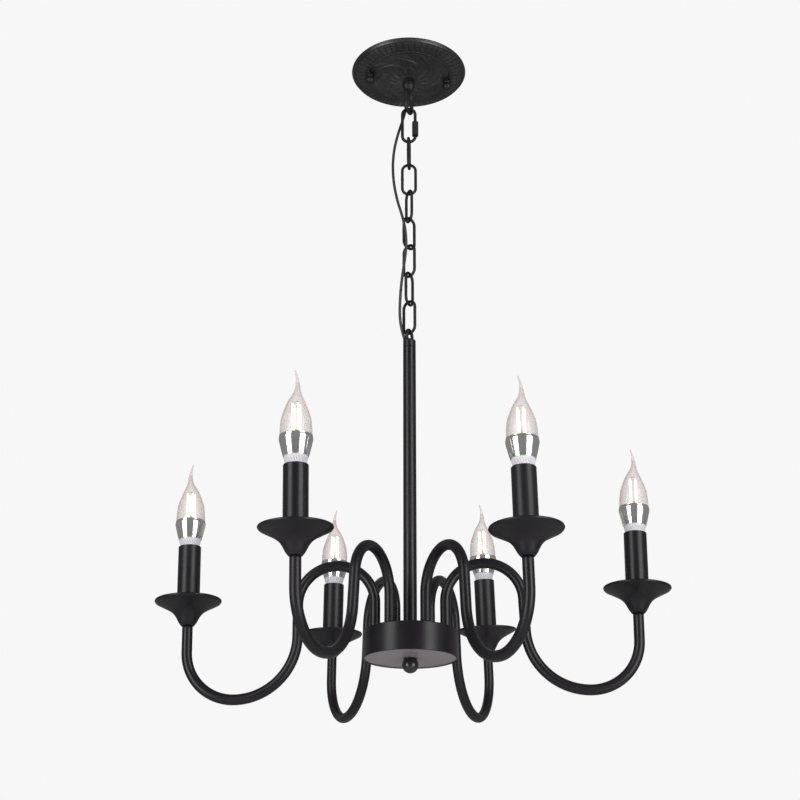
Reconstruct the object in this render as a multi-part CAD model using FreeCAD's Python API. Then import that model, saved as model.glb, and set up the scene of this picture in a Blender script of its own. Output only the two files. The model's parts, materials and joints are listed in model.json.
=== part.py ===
import FreeCAD, Part
import os
import math

os.makedirs("parts", exist_ok=True)

# Six-arm candle chandelier on a chain. Millimetres, +Z up.
# The origin is the middle of the ceiling plate's upper face, so everything hangs at z <= 0.

RUN = 0.05          # radial running or thread clearance between a rod and its hole
FIT = 0.3           # air between parts that only pass each other
CHAIN_PLAY = 0.3    # air between two linked rings at their crossing

# ceiling strap, its two studs and the dished canopy
STRAP_LENGTH, STRAP_WIDTH, STRAP_THICK = 122.0, 26.0, 2.0
SLOT_SPACING, SLOT_LENGTH, SLOT_WIDTH = 70.0, 14.0, 5.0
STRAP_CENTRE_HOLE = 10.5
STUD_DIAMETER = 4.0
STUD_X, STUD_Y = 50.7, 7.6
CANOPY_DIAMETER, CANOPY_DEPTH, CANOPY_WALL = 151.0, 22.5, 1.6
CANOPY_RIM_HEIGHT, CANOPY_BEAD, CANOPY_TOP_DIAMETER = 6.0, 3.5, 140.0
CANOPY_FLAT_RADIUS = 12.0
STUD_PAD_DIAMETER = 12.0
CAP_NUT_DIAMETER = 11.5
BUSH_X, BUSH_Y, BUSH_DIAMETER, BUSH_BORE, BUSH_FLANGE = -2.5, 13.8, 8.0, 6.0, 10.5
BLOCK_SIZE = (22.0, 14.0, 8.0)
BLOCK_CORNER = (16.0, 10.0)

# suspension: canopy loop, screw link, plain links, stem loop
LOOP_SHANK, LOOP_COLLAR, LOOP_COLLAR_HEIGHT = 10.0, 16.0, 6.0
LOOP_LENGTH, LOOP_WIDTH, LOOP_WIRE = 38.0, 25.0, 5.0
LOOP_DROP = 47.5    # canopy's lower face to the outside of the loop's bottom
LOOP_SHANK_UP = 9.6
SCREW_LINK_LENGTH, SCREW_LINK_WIDTH, SCREW_LINK_WIRE = 54.4, 20.7, 4.0
SCREW_NUT_LENGTH, SCREW_NUT_ACROSS, SCREW_NUT_TRAVEL = 21.0, 8.2, 8.5
SCREW_GAP = 6.5
LINK_LENGTH, LINK_WIDTH, LINK_WIRE, LINK_COUNT = 47.0, 20.7, 3.7, 7
STEM_LOOP_WIDTH, STEM_LOOP_LENGTH, STEM_LOOP_WIRE = 17.0, 19.0, 4.0
CANOPY_LOOP_YAW = 68.0
SCREW_LINK_YAW = 0.0
LINK_YAWS = [84.0, 0.0, -66.0, 39.0, -39.0, 61.0, -37.0]
STEM_LOOP_YAW = 60.0

# stem, hub and finial
STEM_LENGTH, STEM_DIAMETER, STEM_WALL = 361.1, 15.5, 1.25
STEM_CAP_HEIGHT, STEM_CAP_SHANK, STEM_PLUG = 11.0, 14.0, 14.0
LEAD_DIAMETER, LEAD_HOLE = 3.5, 4.5
HUB_DIAMETER, HUB_HEIGHT, HUB_WALL = 106.5, 32.0, 1.2
COVER_RECESS, COVER_THICK = 1.0, 3.0
NIPPLE_DIAMETER, NIPPLE_BORE = 10.0, 7.6
NUT_ACROSS, NUT_HEIGHT = 14.0, 5.0
FINIAL_BALL, FINIAL_BASE, FINIAL_WAIST, FINIAL_HEIGHT, FINIAL_FOOT = 18.6, 16.5, 13.6, 16.6, 0.8

# arms: a swan neck over a tight loop, down, round a wide bowl and up to the cup
ARM_COUNT = 6
ARM_DIAMETER, ARM_WALL = 12.0, 1.2
ARM_FOOT_CIRCLE = 80.0
FOOT_RISE = 33.2
NECK_RADIUS, NECK_WRAP = 44.1, 177.0
DESCENT = 36.3
BOWL_RADIUS, RISE_RADIUS = 70.2, 55.5
TIP_RISE = 30.3
SPIGOT_DIAMETER, SPIGOT_BORE = 10.0, 7.6
FOOT_SPIGOT, TIP_SPIGOT = 11.0, 9.0
HUB_TURN = -4.6
# each arm was bent and tightened by hand: its turn about its foot, extra wrap, inward lean
ARM_TURNS = [1.0, 13.5, -2.6, 1.6, 10.3, 1.9]
ARM_EXTRA_WRAPS = [0.8, -1.2, -1.2, 3.7, -2.5, -0.7]
ARM_LEANS = [-1.3, 5.2, 1.4, -1.6, -2.7, 1.3]

# cup, candle sleeve, lampholder and screw lamp, measured up from the arm's shoulder
CUP_DIAMETER, CUP_HEIGHT, CUP_FOOT, CUP_WALL = 76.4, 30.0, 14.4, 1.2
CUP_FLOOR = 3.0
SLEEVE_DIAMETER, SLEEVE_WALL, SLEEVE_BOTTOM, SLEEVE_TOP = 26.0, 1.1, 12.5, 93.5
SLEEVE_SHOULDER, SLEEVE_MOUTH = 2.4, 22.4
HOLDER_DIAMETER, HOLDER_BORE, HOLDER_TOP = 20.0, 14.6, 89.0
SOCKET_DEPTH = 23.0
LAMP_SINK = 0.5       # the lamp's ring starts this far below the sleeve's mouth
CAP_DIAMETER, CAP_LENGTH, TIP_DIAMETER, TIP_LENGTH = 13.9, 19.5, 5.0, 1.8
RING_FOOT, RING_DIAMETER, RING_HEIGHT = 20.8, 26.0, 8.8
COLLAR_DIAMETER, COLLAR_HEIGHT = 35.0, 22.6
GLASS_DIAMETER, GLASS_HEIGHT, GLASS_WALL = 33.4, 71.0, 0.8
HOUSING_WALL = 1.5
FILAMENT_COUNT, FILAMENT_CIRCLE, FILAMENT_LENGTH, FILAMENT_DIAMETER = 4, 9.0, 34.0, 1.8
LAMP_THREAD_PITCH, LAMP_TURNS = 2.822, 5.25


# ---- derived heights ----
CANOPY_FACE_Z = -CANOPY_DEPTH
LOOP_BOTTOM_Z = CANOPY_FACE_Z - LOOP_DROP
LOOP_WIRE_Z = LOOP_BOTTOM_Z + LOOP_WIRE / 2
SCREW_LINK_TOP_Z = LOOP_WIRE_Z + (LOOP_WIRE + SCREW_LINK_WIRE) / 2 + CHAIN_PLAY
SCREW_LINK_BOTTOM_Z = SCREW_LINK_TOP_Z - (SCREW_LINK_LENGTH - SCREW_LINK_WIRE)
LINK_REACH = LINK_LENGTH - LINK_WIRE
LINK_PITCH = LINK_REACH - LINK_WIRE - CHAIN_PLAY
LINK_1_TOP_Z = SCREW_LINK_BOTTOM_Z + (SCREW_LINK_WIRE + LINK_WIRE) / 2 + CHAIN_PLAY
CHAIN_END_Z = LINK_1_TOP_Z - LINK_PITCH * (LINK_COUNT - 1) - LINK_REACH
STEM_LOOP_TOP_Z = CHAIN_END_Z + (LINK_WIRE + STEM_LOOP_WIRE) / 2 + CHAIN_PLAY
STEM_TOP_Z = STEM_LOOP_TOP_Z + STEM_LOOP_WIRE / 2 - STEM_LOOP_LENGTH + STEM_LOOP_WIRE
HUB_TOP_Z = STEM_TOP_Z - STEM_LENGTH
HUB_BOTTOM_Z = HUB_TOP_Z - HUB_HEIGHT
COVER_Z = HUB_BOTTOM_Z + COVER_RECESS


def vector(x, y, z):
    return FreeCAD.Vector(x, y, z)


Z_AXIS = vector(0, 0, 1)
ORIGIN = vector(0, 0, 0)


def rod(diameter, low, high, x=0.0, y=0.0):
    """Upright cylinder between two heights."""
    return Part.makeCylinder(diameter / 2, high - low, vector(x, y, low))


def pipe_length(diameter, bore, low, high):
    return rod(diameter, low, high).cut(rod(bore, low - 1, high + 1))


def turned(outline):
    """Solid of revolution about Z from a closed outline of (radius, height) points."""
    corners = [vector(r, 0, z) for r, z in outline]
    face = Part.Face(Part.makePolygon(corners + [corners[0]]))
    return face.revolve(ORIGIN, Z_AXIS, 360)


def turned_curve(curve_points, closing_points):
    """Solid of revolution whose outline is one smooth curve closed by straight lines."""
    curve = Part.BSplineCurve()
    curve.interpolate([vector(r, 0, z) for r, z in curve_points])
    ends = [curve_points[-1]] + closing_points + [curve_points[0]]
    lines = Part.makePolygon([vector(r, 0, z) for r, z in ends])
    wire = Part.Wire([curve.toShape()] + lines.Edges)
    return Part.Face(wire).revolve(ORIGIN, Z_AXIS, 360)


def hexagon(across, low, high, bore=0.0):
    """Hexagonal nut blank with a plain bore."""
    corner = across / 2 / math.cos(math.pi / 6)
    angles = [k * math.pi / 3 for k in range(7)]
    ring = Part.makePolygon([vector(corner * math.cos(a), corner * math.sin(a), low) for a in angles])
    blank = Part.Face(ring).extrude(vector(0, 0, high - low))
    chamfered = blank.common(turned([(0, low), (across / 2, low), (corner, low + 0.8),
                                     (corner, high - 0.8), (across / 2, high), (0, high)]))
    return chamfered.cut(rod(bore, low - 1, high + 1)) if bore else chamfered


def shift(shape, x, y, z=0.0):
    moved = shape.copy()
    moved.translate(vector(x, y, z))
    return moved


def turn(shape, angle):
    """Turn about the vertical axis through the origin."""
    moved = shape.copy()
    moved.rotate(ORIGIN, Z_AXIS, angle)
    return moved


def oval_link(length, width, wire, top_wire_z, yaw, gap=None):
    """Round-ended wire link hanging from the height of its top wire's centre line."""
    bend = (width - wire) / 2
    upper = top_wire_z - bend
    lower = top_wire_z - (length - wire) + bend
    parts = []
    for height, sweep in ((upper, 180), (lower, -180)):
        section = Part.Face(Part.Wire(Part.makeCircle(wire / 2, vector(bend, 0, height), Z_AXIS)))
        parts.append(section.revolve(vector(0, 0, height), vector(0, -1, 0), sweep))
    for side in (-bend, bend):
        limb = rod(wire, lower, upper, side)
        if gap and side > 0:
            limb = limb.cut(rod(wire + 1, gap[0], gap[1], side))
        parts.append(limb)
    return turn(parts[0].fuse(parts[1:]).removeSplitter(), yaw)


def bent_rod(edges, diameter):
    """Round bar along a path of lines and arcs."""
    path = Part.Wire(edges)
    first = edges[0]
    start = first.valueAt(first.FirstParameter)
    section = Part.Wire(Part.makeCircle(diameter / 2, start, first.tangentAt(first.FirstParameter)))
    return path.makePipeShell([section], True, False)


def save(name, shapes):
    """Write one node; several separate solids share a node when given as a list."""
    shape = Part.makeCompound(shapes) if isinstance(shapes, list) else shapes
    shape.exportStep("parts/" + name + ".step")
    return shape


# ---- ceiling strap and canopy ----
def canopy_height(radius):
    """Height of the canopy's outer cone at a radius."""
    shoulder = CANOPY_DIAMETER / 2 - CANOPY_BEAD
    low, high = CANOPY_FACE_Z, -(CANOPY_RIM_HEIGHT + CANOPY_BEAD)
    return high + (low - high) * (shoulder - radius) / (shoulder - CANOPY_FLAT_RADIUS)


STUD_RADIUS_OUT = math.hypot(STUD_X, STUD_Y)
STUD_PAD_Z = canopy_height(STUD_RADIUS_OUT - STUD_PAD_DIAMETER / 2)
STUD_PLACES = [(STUD_X, STUD_Y), (-STUD_X, -STUD_Y)]


def mounting_strap():
    bar = Part.makeBox(STRAP_LENGTH, STRAP_WIDTH, STRAP_THICK,
                       vector(-STRAP_LENGTH / 2, -STRAP_WIDTH / 2, -STRAP_THICK))
    bar = bar.makeFillet(STRAP_WIDTH * 0.2, [e for e in bar.Edges if abs(e.tangentAt(0).z) > 0.9])
    for side in (-1, 1):
        middle = side * SLOT_SPACING / 2
        half = (SLOT_LENGTH - SLOT_WIDTH) / 2
        slot = rod(SLOT_WIDTH, -STRAP_THICK - 1, 1, middle - half)
        slot = slot.fuse(rod(SLOT_WIDTH, -STRAP_THICK - 1, 1, middle + half))
        slot = slot.fuse(Part.makeBox(2 * half, SLOT_WIDTH, STRAP_THICK + 2,
                                      vector(middle - half, -SLOT_WIDTH / 2, -STRAP_THICK - 1)))
        bar = bar.cut(slot)
    bar = bar.cut(rod(STRAP_CENTRE_HOLE, -STRAP_THICK - 1, 1))
    for x, y in STUD_PLACES:
        bar = bar.cut(rod(STUD_DIAMETER + 2 * RUN, -STRAP_THICK - 1, 1, x, y))
    return bar


def strap_studs():
    return [rod(STUD_DIAMETER, STUD_PAD_Z - CAP_NUT_DIAMETER * 0.5, 0, x, y) for x, y in STUD_PLACES]


def canopy():
    radius = CANOPY_DIAMETER / 2
    top = CANOPY_TOP_DIAMETER / 2
    bead = CANOPY_BEAD
    outline = [(0, 0), (top, 0), (radius, -CANOPY_RIM_HEIGHT), (radius - bead, -CANOPY_RIM_HEIGHT - bead),
               (CANOPY_FLAT_RADIUS, CANOPY_FACE_Z), (0, CANOPY_FACE_Z)]
    wall = CANOPY_WALL
    hollow = [(0, 1), (top - wall, 1), (top - wall, 0),
              (radius - wall * 1.2, -CANOPY_RIM_HEIGHT + wall * 0.2),
              (radius - bead - wall * 0.5, -CANOPY_RIM_HEIGHT - bead + wall),
              (CANOPY_FLAT_RADIUS, CANOPY_FACE_Z + wall), (0, CANOPY_FACE_Z + wall)]
    dish = turned(outline)
    for x, y in STUD_PLACES:
        dish = dish.fuse(rod(STUD_PAD_DIAMETER, STUD_PAD_Z, STUD_PAD_Z + wall * 2, x, y))
    dish = dish.cut(turned(hollow))
    for x, y in STUD_PLACES:
        dish = dish.fuse(rod(STUD_PAD_DIAMETER, STUD_PAD_Z, STUD_PAD_Z + wall, x, y))
        dish = dish.cut(rod(STUD_DIAMETER + 0.6, STUD_PAD_Z - 1, 0, x, y))
    dish = dish.cut(rod(LOOP_SHANK + 2 * RUN, CANOPY_FACE_Z - 1, 0))
    return dish.cut(rod(BUSH_DIAMETER + 2 * RUN, CANOPY_FACE_Z - 1, 0, BUSH_X, BUSH_Y))


def canopy_cap_nuts():
    """Ball nuts: a short collar under a sphere, blind-bored for the stud."""
    nuts = []
    for x, y in STUD_PLACES:
        ball = Part.makeSphere(CAP_NUT_DIAMETER / 2, vector(x, y, STUD_PAD_Z - CAP_NUT_DIAMETER * 0.6))
        collar = rod(CAP_NUT_DIAMETER * 0.8, STUD_PAD_Z - CAP_NUT_DIAMETER * 0.4, STUD_PAD_Z, x, y)
        bore = rod(STUD_DIAMETER + 2 * RUN, STUD_PAD_Z - CAP_NUT_DIAMETER * 0.55, STUD_PAD_Z + 1, x, y)
        nuts.append(ball.fuse(collar).cut(bore))
    return nuts


def canopy_loop():
    """Threaded shank, round collar, short neck and a long ring for the chain."""
    collar_low = CANOPY_FACE_Z - LOOP_COLLAR_HEIGHT
    ring_top = LOOP_BOTTOM_Z + LOOP_LENGTH
    shank = rod(LOOP_SHANK, CANOPY_FACE_Z, CANOPY_FACE_Z + LOOP_SHANK_UP)
    collar = turned([(0, CANOPY_FACE_Z), (LOOP_COLLAR / 2, CANOPY_FACE_Z), (LOOP_COLLAR / 2, collar_low + 2),
                     (LOOP_WIRE, ring_top - LOOP_WIRE * 0.7), (0, ring_top - LOOP_WIRE * 0.7)])
    ring = oval_link(LOOP_LENGTH, LOOP_WIDTH, LOOP_WIRE, ring_top - LOOP_WIRE / 2, CANOPY_LOOP_YAW)
    return shank.fuse([collar, ring]).removeSplitter()


def canopy_loop_nut():
    low = CANOPY_FACE_Z + CANOPY_WALL
    return hexagon(NUT_ACROSS, low, low + NUT_HEIGHT, LOOP_SHANK + 2 * RUN)


def lead_bush():
    """Flanged sleeve that guards the lead where it leaves the canopy."""
    face = canopy_height(math.hypot(BUSH_X, BUSH_Y) + BUSH_FLANGE / 2) - 1.2
    top = canopy_height(math.hypot(BUSH_X, BUSH_Y)) + CANOPY_WALL + 2.0
    sleeve = rod(BUSH_DIAMETER, face - 1.5, top, BUSH_X, BUSH_Y)
    flange = rod(BUSH_FLANGE, CANOPY_FACE_Z - 3.0, CANOPY_FACE_Z - FIT, BUSH_X, BUSH_Y)
    return sleeve.fuse(flange).cut(rod(BUSH_BORE, CANOPY_FACE_Z - 9, 0, BUSH_X, BUSH_Y))


def terminal_block():
    """Three-way block: body with a screw well and a wire entry for each pole."""
    length, width, height = BLOCK_SIZE
    x, y = BLOCK_CORNER
    top = -STRAP_THICK - 1.0
    body = Part.makeBox(length, width, height, vector(x, y, top - height))
    pitch = length / 3
    for pole in range(3):
        centre = x + pitch * (pole + 0.5)
        body = body.cut(rod(3.4, top - height - 1, top - height * 0.5, centre, y + width * 0.3))
        body = body.cut(rod(3.4, top - height - 1, top - height * 0.5, centre, y + width * 0.7))
    return body


# ---- suspension chain ----
def screw_link_side():
    return (SCREW_LINK_WIDTH - SCREW_LINK_WIRE) / 2


SCREW_NUT_LOW = SCREW_LINK_BOTTOM_Z + screw_link_side() + 0.8
SCREW_GAP_LOW = SCREW_NUT_LOW + 1.0


def quick_link():
    gap = (SCREW_GAP_LOW, SCREW_GAP_LOW + SCREW_GAP)
    return oval_link(SCREW_LINK_LENGTH, SCREW_LINK_WIDTH, SCREW_LINK_WIRE, SCREW_LINK_TOP_Z,
                     SCREW_LINK_YAW, gap)


def quick_link_nut():
    """Long hexagonal sleeve that bridges the gap in the screw link's side."""
    high = SCREW_NUT_LOW + SCREW_NUT_LENGTH
    nut = hexagon(SCREW_NUT_ACROSS, SCREW_NUT_LOW, high, SCREW_LINK_WIRE + 2 * RUN)
    return turn(shift(nut, screw_link_side(), 0), SCREW_LINK_YAW)


def chain_link(index):
    top = LINK_1_TOP_Z - LINK_PITCH * index
    return oval_link(LINK_LENGTH, LINK_WIDTH, LINK_WIRE, top, LINK_YAWS[index])


# ---- supply lead ----
LEAD_ROUTE = [
    (16.0, 17.0, -7.0), (9.5, 17.0, -7.0), (3.0, 16.4, -9.6), (-1.4, 15.0, -15.2),
    (-2.9, 13.6, -22.5), (-3.3, 12.0, -36.0), (-3.6, 8.6, -54.0), (-6.2, 5.9, -70.5),
    (-11.3, 4.9, -87.5), (-16.4, 3.4, -108.0), (-19.8, 1.2, -129.0), (-21.0, -1.4, -153.0),
    (-19.4, -4.0, -178.5), (-15.2, -6.6, -203.5), (-9.9, -9.0, -223.5), (-6.0, -9.8, -240.0),
    (-3.8, -9.4, -256.5), (-3.6, -8.2, -273.0), (-5.4, -7.4, -289.0), (-7.6, -7.0, -305.0),
    (-9.7, -6.4, -322.0), (-11.1, -4.9, -339.0), (-11.7, -3.2, -353.5), (-11.7, -1.8, -365.0),
    (-10.8, -0.6, -375.0), (-8.7, 0.7, -385.0), (-6.0, 1.8, -394.5), (-3.9, 2.3, -406.0),
    (-2.8, 2.3, -424.0), (-2.1, 2.1, -462.0), (-1.5, 1.7, -518.0), (-1.1, 1.2, -575.0),
    (-0.8, 0.5, -630.0), (-0.6, -0.3, -680.0), (-0.5, -0.9, -718.0), (-0.4, -1.2, -750.1),
    (-0.4, -1.6, -766.1), (-0.4, -4.6, -774.7), (-0.4, -11.2, -779.7), (-0.4, -19.0, -781.1),
]


def lead_path(points):
    """Straight runs joined by tangent arcs, each as large as its two runs allow."""
    corners = [vector(*p) for p in points]
    starts = [corners[0]]
    edges = []
    radii = []
    for before, corner, after in zip(corners[:-2], corners[1:-1], corners[2:]):
        back = (before - corner).normalize()
        ahead = (after - corner).normalize()
        half_turn = (math.pi - back.getAngle(ahead)) / 2
        reach = 0.45 * min((before - corner).Length, (after - corner).Length)
        radius = reach / math.tan(half_turn)
        arc_start = corner + back * reach
        arc_end = corner + ahead * reach
        to_centre = (back + ahead).normalize()
        middle = corner + to_centre * (radius / math.cos(half_turn) - radius)
        edges.append(Part.LineSegment(starts[-1], arc_start).toShape())
        edges.append(Part.Arc(arc_start, middle, arc_end).toShape())
        starts.append(arc_end)
        radii.append(radius)
    edges.append(Part.LineSegment(starts[-1], corners[-1]).toShape())
    return edges, radii


def supply_lead():
    edges, radii = lead_path(LEAD_ROUTE)
    tube = bent_rod(edges, LEAD_DIAMETER)
    length = sum(e.Length for e in edges)
    expected = math.pi * LEAD_DIAMETER ** 2 / 4 * length
    print("lead radii", [round(r, 1) for r in radii])
    print("lead length", round(length, 1), "volume share", round(tube.Volume / expected, 4))
    return tube


# ---- stem ----
def stem_loop():
    """Small ring on a cap that screws into the stem's top, bored beside the ring for the lead."""
    ring = oval_link(STEM_LOOP_LENGTH, STEM_LOOP_WIDTH, STEM_LOOP_WIRE, STEM_LOOP_TOP_Z, STEM_LOOP_YAW)
    radius = STEM_DIAMETER / 2
    inner = radius - STEM_WALL - RUN
    cap = turned([(0, STEM_TOP_Z), (radius - 1.2, STEM_TOP_Z), (radius, STEM_TOP_Z - 1.2),
                  (radius, STEM_TOP_Z - STEM_CAP_HEIGHT), (inner, STEM_TOP_Z - STEM_CAP_HEIGHT),
                  (inner, STEM_TOP_Z - STEM_CAP_HEIGHT - STEM_CAP_SHANK),
                  (0, STEM_TOP_Z - STEM_CAP_HEIGHT - STEM_CAP_SHANK)])
    keep = Part.makeBox(60, 60, 60, vector(-30, -30, STEM_TOP_Z - 0.5))
    body = cap.fuse(ring.common(keep)).removeSplitter()
    near = [p for p in LEAD_ROUTE if abs(p[2] - STEM_TOP_Z) < 30]
    for first, second in zip(near[:-1], near[1:]):
        start, end = vector(*first), vector(*second)
        along = end - start
        drill = Part.makeCylinder(LEAD_HOLE / 2, along.Length, start, along)
        body = body.cut(drill.fuse(Part.makeSphere(LEAD_HOLE / 2, end)))
    return body


def stem():
    """Tube whose lower end is thick and bored for the hub's threaded nipple."""
    top = STEM_TOP_Z - STEM_CAP_HEIGHT
    tube = rod(STEM_DIAMETER, HUB_TOP_Z, top)
    tube = tube.cut(rod(STEM_DIAMETER - 2 * STEM_WALL, HUB_TOP_Z + STEM_PLUG, top + 1))
    return tube.cut(rod(NIPPLE_DIAMETER + 2 * RUN, HUB_TOP_Z - 1, HUB_TOP_Z + STEM_PLUG + 1))


# ---- hub ----
def stub_angle(index):
    return HUB_TURN + 360.0 / ARM_COUNT * index


def on_foot_circle(shape, index):
    angle = math.radians(stub_angle(index))
    radius = ARM_FOOT_CIRCLE / 2
    return shift(shape, radius * math.cos(angle), radius * math.sin(angle))


def hub_drum():
    """Cup with its floor on top, bored for the nipple and the arms' feet."""
    drum = rod(HUB_DIAMETER, HUB_BOTTOM_Z, HUB_TOP_Z)
    drum = drum.makeFillet(0.8, [drum.Edges[0]])
    drum = drum.cut(rod(HUB_DIAMETER - 2 * HUB_WALL, HUB_BOTTOM_Z - 1, HUB_TOP_Z - HUB_WALL))
    drum = drum.cut(rod(NIPPLE_DIAMETER + 2 * RUN, HUB_TOP_Z - HUB_HEIGHT, HUB_TOP_Z + 1))
    hole = rod(SPIGOT_DIAMETER + 2 * RUN, HUB_TOP_Z - HUB_HEIGHT / 2, HUB_TOP_Z + 1)
    for index in range(ARM_COUNT):
        drum = drum.cut(on_foot_circle(hole, index))
    return drum


def hub_cover():
    disc = rod(HUB_DIAMETER - 2 * HUB_WALL - 2 * RUN, COVER_Z, COVER_Z + COVER_THICK)
    return disc.cut(rod(NIPPLE_DIAMETER + 2 * RUN, COVER_Z - 1, COVER_Z + COVER_THICK + 1))


SLOT_TOP_Z = HUB_TOP_Z - HUB_WALL - NUT_HEIGHT - 0.8
LOCK_NUT_Z = COVER_Z + COVER_THICK


def hub_nipple():
    """Hollow threaded rod from the stem through the drum to the finial, slotted for the lead."""
    low = COVER_Z - FINIAL_HEIGHT * 0.4
    tube = pipe_length(NIPPLE_DIAMETER, NIPPLE_BORE, low, HUB_TOP_Z + STEM_PLUG - 1)
    slot_low = LOCK_NUT_Z + NUT_HEIGHT - 2.0
    slot = Part.makeBox(5, NIPPLE_DIAMETER, SLOT_TOP_Z - slot_low, vector(-2.9, -NIPPLE_DIAMETER, slot_low))
    return tube.cut(slot)


def hub_nuts():
    bore = NIPPLE_DIAMETER + 2 * RUN
    high = HUB_TOP_Z - HUB_WALL
    upper = hexagon(NUT_ACROSS, high - NUT_HEIGHT, high, bore)
    lower = hexagon(NUT_ACROSS, LOCK_NUT_Z, LOCK_NUT_Z + NUT_HEIGHT * 0.6, bore)
    return [upper, lower]


def hub_connectors():
    """Lever connectors that join the lead to the arm wires, lying in a ring in the drum."""
    blocks = []
    floor = LOCK_NUT_Z + 1.0
    for angle in (-90, -20, 200):
        block = Part.makeBox(12, 16, 7, vector(19.5, -8, floor))
        well = Part.makeBox(3.6, 4.2, 3.6, vector(18.5, -5.6, floor + 1.7))
        second = Part.makeBox(3.6, 4.2, 3.6, vector(18.5, 1.4, floor + 1.7))
        blocks.append(turn(block.cut(well).cut(second), angle))
    return blocks


def finial():
    """Ball nut under the cover: flared foot, waist and ball."""
    low = COVER_Z - FINIAL_HEIGHT
    ball_z = low + FINIAL_BALL / 2
    ball = Part.makeSphere(FINIAL_BALL / 2, vector(0, 0, ball_z))
    ball = ball.common(rod(FINIAL_BALL + 1, low - 1, COVER_Z))
    waist_z = ball_z + math.sqrt((FINIAL_BALL / 2) ** 2 - (FINIAL_WAIST / 2) ** 2)
    foot = turned([(0, COVER_Z), (FINIAL_BASE / 2, COVER_Z), (FINIAL_BASE / 2, COVER_Z - FINIAL_FOOT),
                   (FINIAL_WAIST / 2, waist_z), (FINIAL_WAIST / 2 - 0.5, ball_z), (0, ball_z)])
    return ball.fuse(foot).cut(rod(NIPPLE_DIAMETER + 2 * RUN, COVER_Z - FINIAL_HEIGHT * 0.45, COVER_Z + 1))


# ---- arms ----
def arm_path(wrap, lean):
    """Edges of an arm's centre line in its own XZ plane, and the point and lean of its tip."""
    edges = []
    place = [0.0, 0.0]
    heading = [90.0]

    def straight(length):
        angle = math.radians(heading[0])
        end = [place[0] + length * math.cos(angle), place[1] + length * math.sin(angle)]
        edges.append(Part.LineSegment(vector(place[0], 0, place[1]), vector(end[0], 0, end[1])).toShape())
        place[:] = end

    def bend(radius, sweep):
        side = 90 if sweep > 0 else -90
        to_centre = math.radians(heading[0] + side)
        centre = [place[0] + radius * math.cos(to_centre), place[1] + radius * math.sin(to_centre)]
        points = []
        for share in (0.0, 0.5, 1.0):
            out = to_centre + math.pi + math.radians(sweep * share)
            points.append(vector(centre[0] + radius * math.cos(out), 0, centre[1] + radius * math.sin(out)))
        edges.append(Part.Arc(*points).toShape())
        place[:] = [points[2].x, points[2].z]
        heading[0] += sweep

    straight(FOOT_RISE)
    bend(NECK_RADIUS, -wrap)
    straight(DESCENT)
    bend(BOWL_RADIUS, wrap - 90)
    bend(RISE_RADIUS, 90 + lean)
    straight(TIP_RISE)
    return edges, place


def arm_tip(index):
    """Point and inward lean of an arm's shoulder in the arm's own frame."""
    place = arm_path(NECK_WRAP + ARM_EXTRA_WRAPS[index], ARM_LEANS[index])[1]
    return vector(place[0], 0, place[1]), ARM_LEANS[index]


def arm_frame(index):
    """Placement of an arm's own frame: its foot on the hub, its plane turned outward."""
    angle = math.radians(stub_angle(index))
    radius = ARM_FOOT_CIRCLE / 2
    foot = vector(radius * math.cos(angle), radius * math.sin(angle), HUB_TOP_Z)
    return FreeCAD.Placement(foot, FreeCAD.Rotation(Z_AXIS, stub_angle(index) + ARM_TURNS[index]))


def tip_frame(index):
    """Placement of the candle's frame: the arm's shoulder, +Z along the candle."""
    point, lean = arm_tip(index)
    return arm_frame(index).multiply(FreeCAD.Placement(point, FreeCAD.Rotation(vector(0, 1, 0), -lean)))


def placed(shape, frame):
    moved = shape.copy()
    moved.transformShape(frame.toMatrix(), True)
    return moved


def arm(index):
    edges = arm_path(NECK_WRAP + ARM_EXTRA_WRAPS[index], ARM_LEANS[index])[0]
    outer = bent_rod(edges, ARM_DIAMETER)
    inner = bent_rod(edges, SPIGOT_BORE)
    tube = outer.cut(inner)
    foot = pipe_length(SPIGOT_DIAMETER, SPIGOT_BORE, -FOOT_SPIGOT, 0)
    tip = pipe_length(SPIGOT_DIAMETER, SPIGOT_BORE, 0, TIP_SPIGOT)
    point, lean = arm_tip(index)
    tip = placed(tip, FreeCAD.Placement(point, FreeCAD.Rotation(vector(0, 1, 0), -lean)))
    return placed(tube.fuse([foot, tip]), arm_frame(index))


def arm_nuts():
    high = HUB_TOP_Z - HUB_WALL
    nut = hexagon(NUT_ACROSS, high - NUT_HEIGHT, high, SPIGOT_DIAMETER + 2 * RUN)
    return [on_foot_circle(turn(nut, 30), index) for index in range(ARM_COUNT)]


# ---- cup, sleeve and lampholder, in the candle's frame ----
# how far out and how far up the flare has come, as shares of its span and height
CUP_FLARE = [(0.0, 0.0), (0.08, 0.107), (0.175, 0.286), (0.30, 0.48), (0.53, 0.66), (0.80, 0.81),
             (0.96, 0.90), (1.0, 0.965)]


def cup_outline():
    """Outer face of the flared cup from foot to rim."""
    foot, rim = CUP_FOOT / 2, CUP_DIAMETER / 2
    return [(foot + (rim - foot) * out, CUP_HEIGHT * up) for out, up in CUP_FLARE]


def cup():
    outside = cup_outline()
    rim = CUP_DIAMETER / 2
    skin = turned_curve(outside, [(rim, CUP_HEIGHT), (0, CUP_HEIGHT), (0, 0)])
    inside = [(r - CUP_WALL * 0.75, z + CUP_WALL) for r, z in outside]
    inside[0] = (outside[0][0] - CUP_WALL, CUP_WALL)
    inside[-1] = (rim - CUP_WALL, CUP_HEIGHT + 0.5)
    hollow = turned_curve(inside, [(0, CUP_HEIGHT + 0.5), (0, CUP_WALL)])
    floor = rod(CUP_FOOT - 1, 0, CUP_FLOOR)
    bore = rod(SPIGOT_DIAMETER + 2 * RUN, -1, CUP_FLOOR + 1)
    return skin.cut(hollow).fuse(floor).cut(bore)


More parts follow.
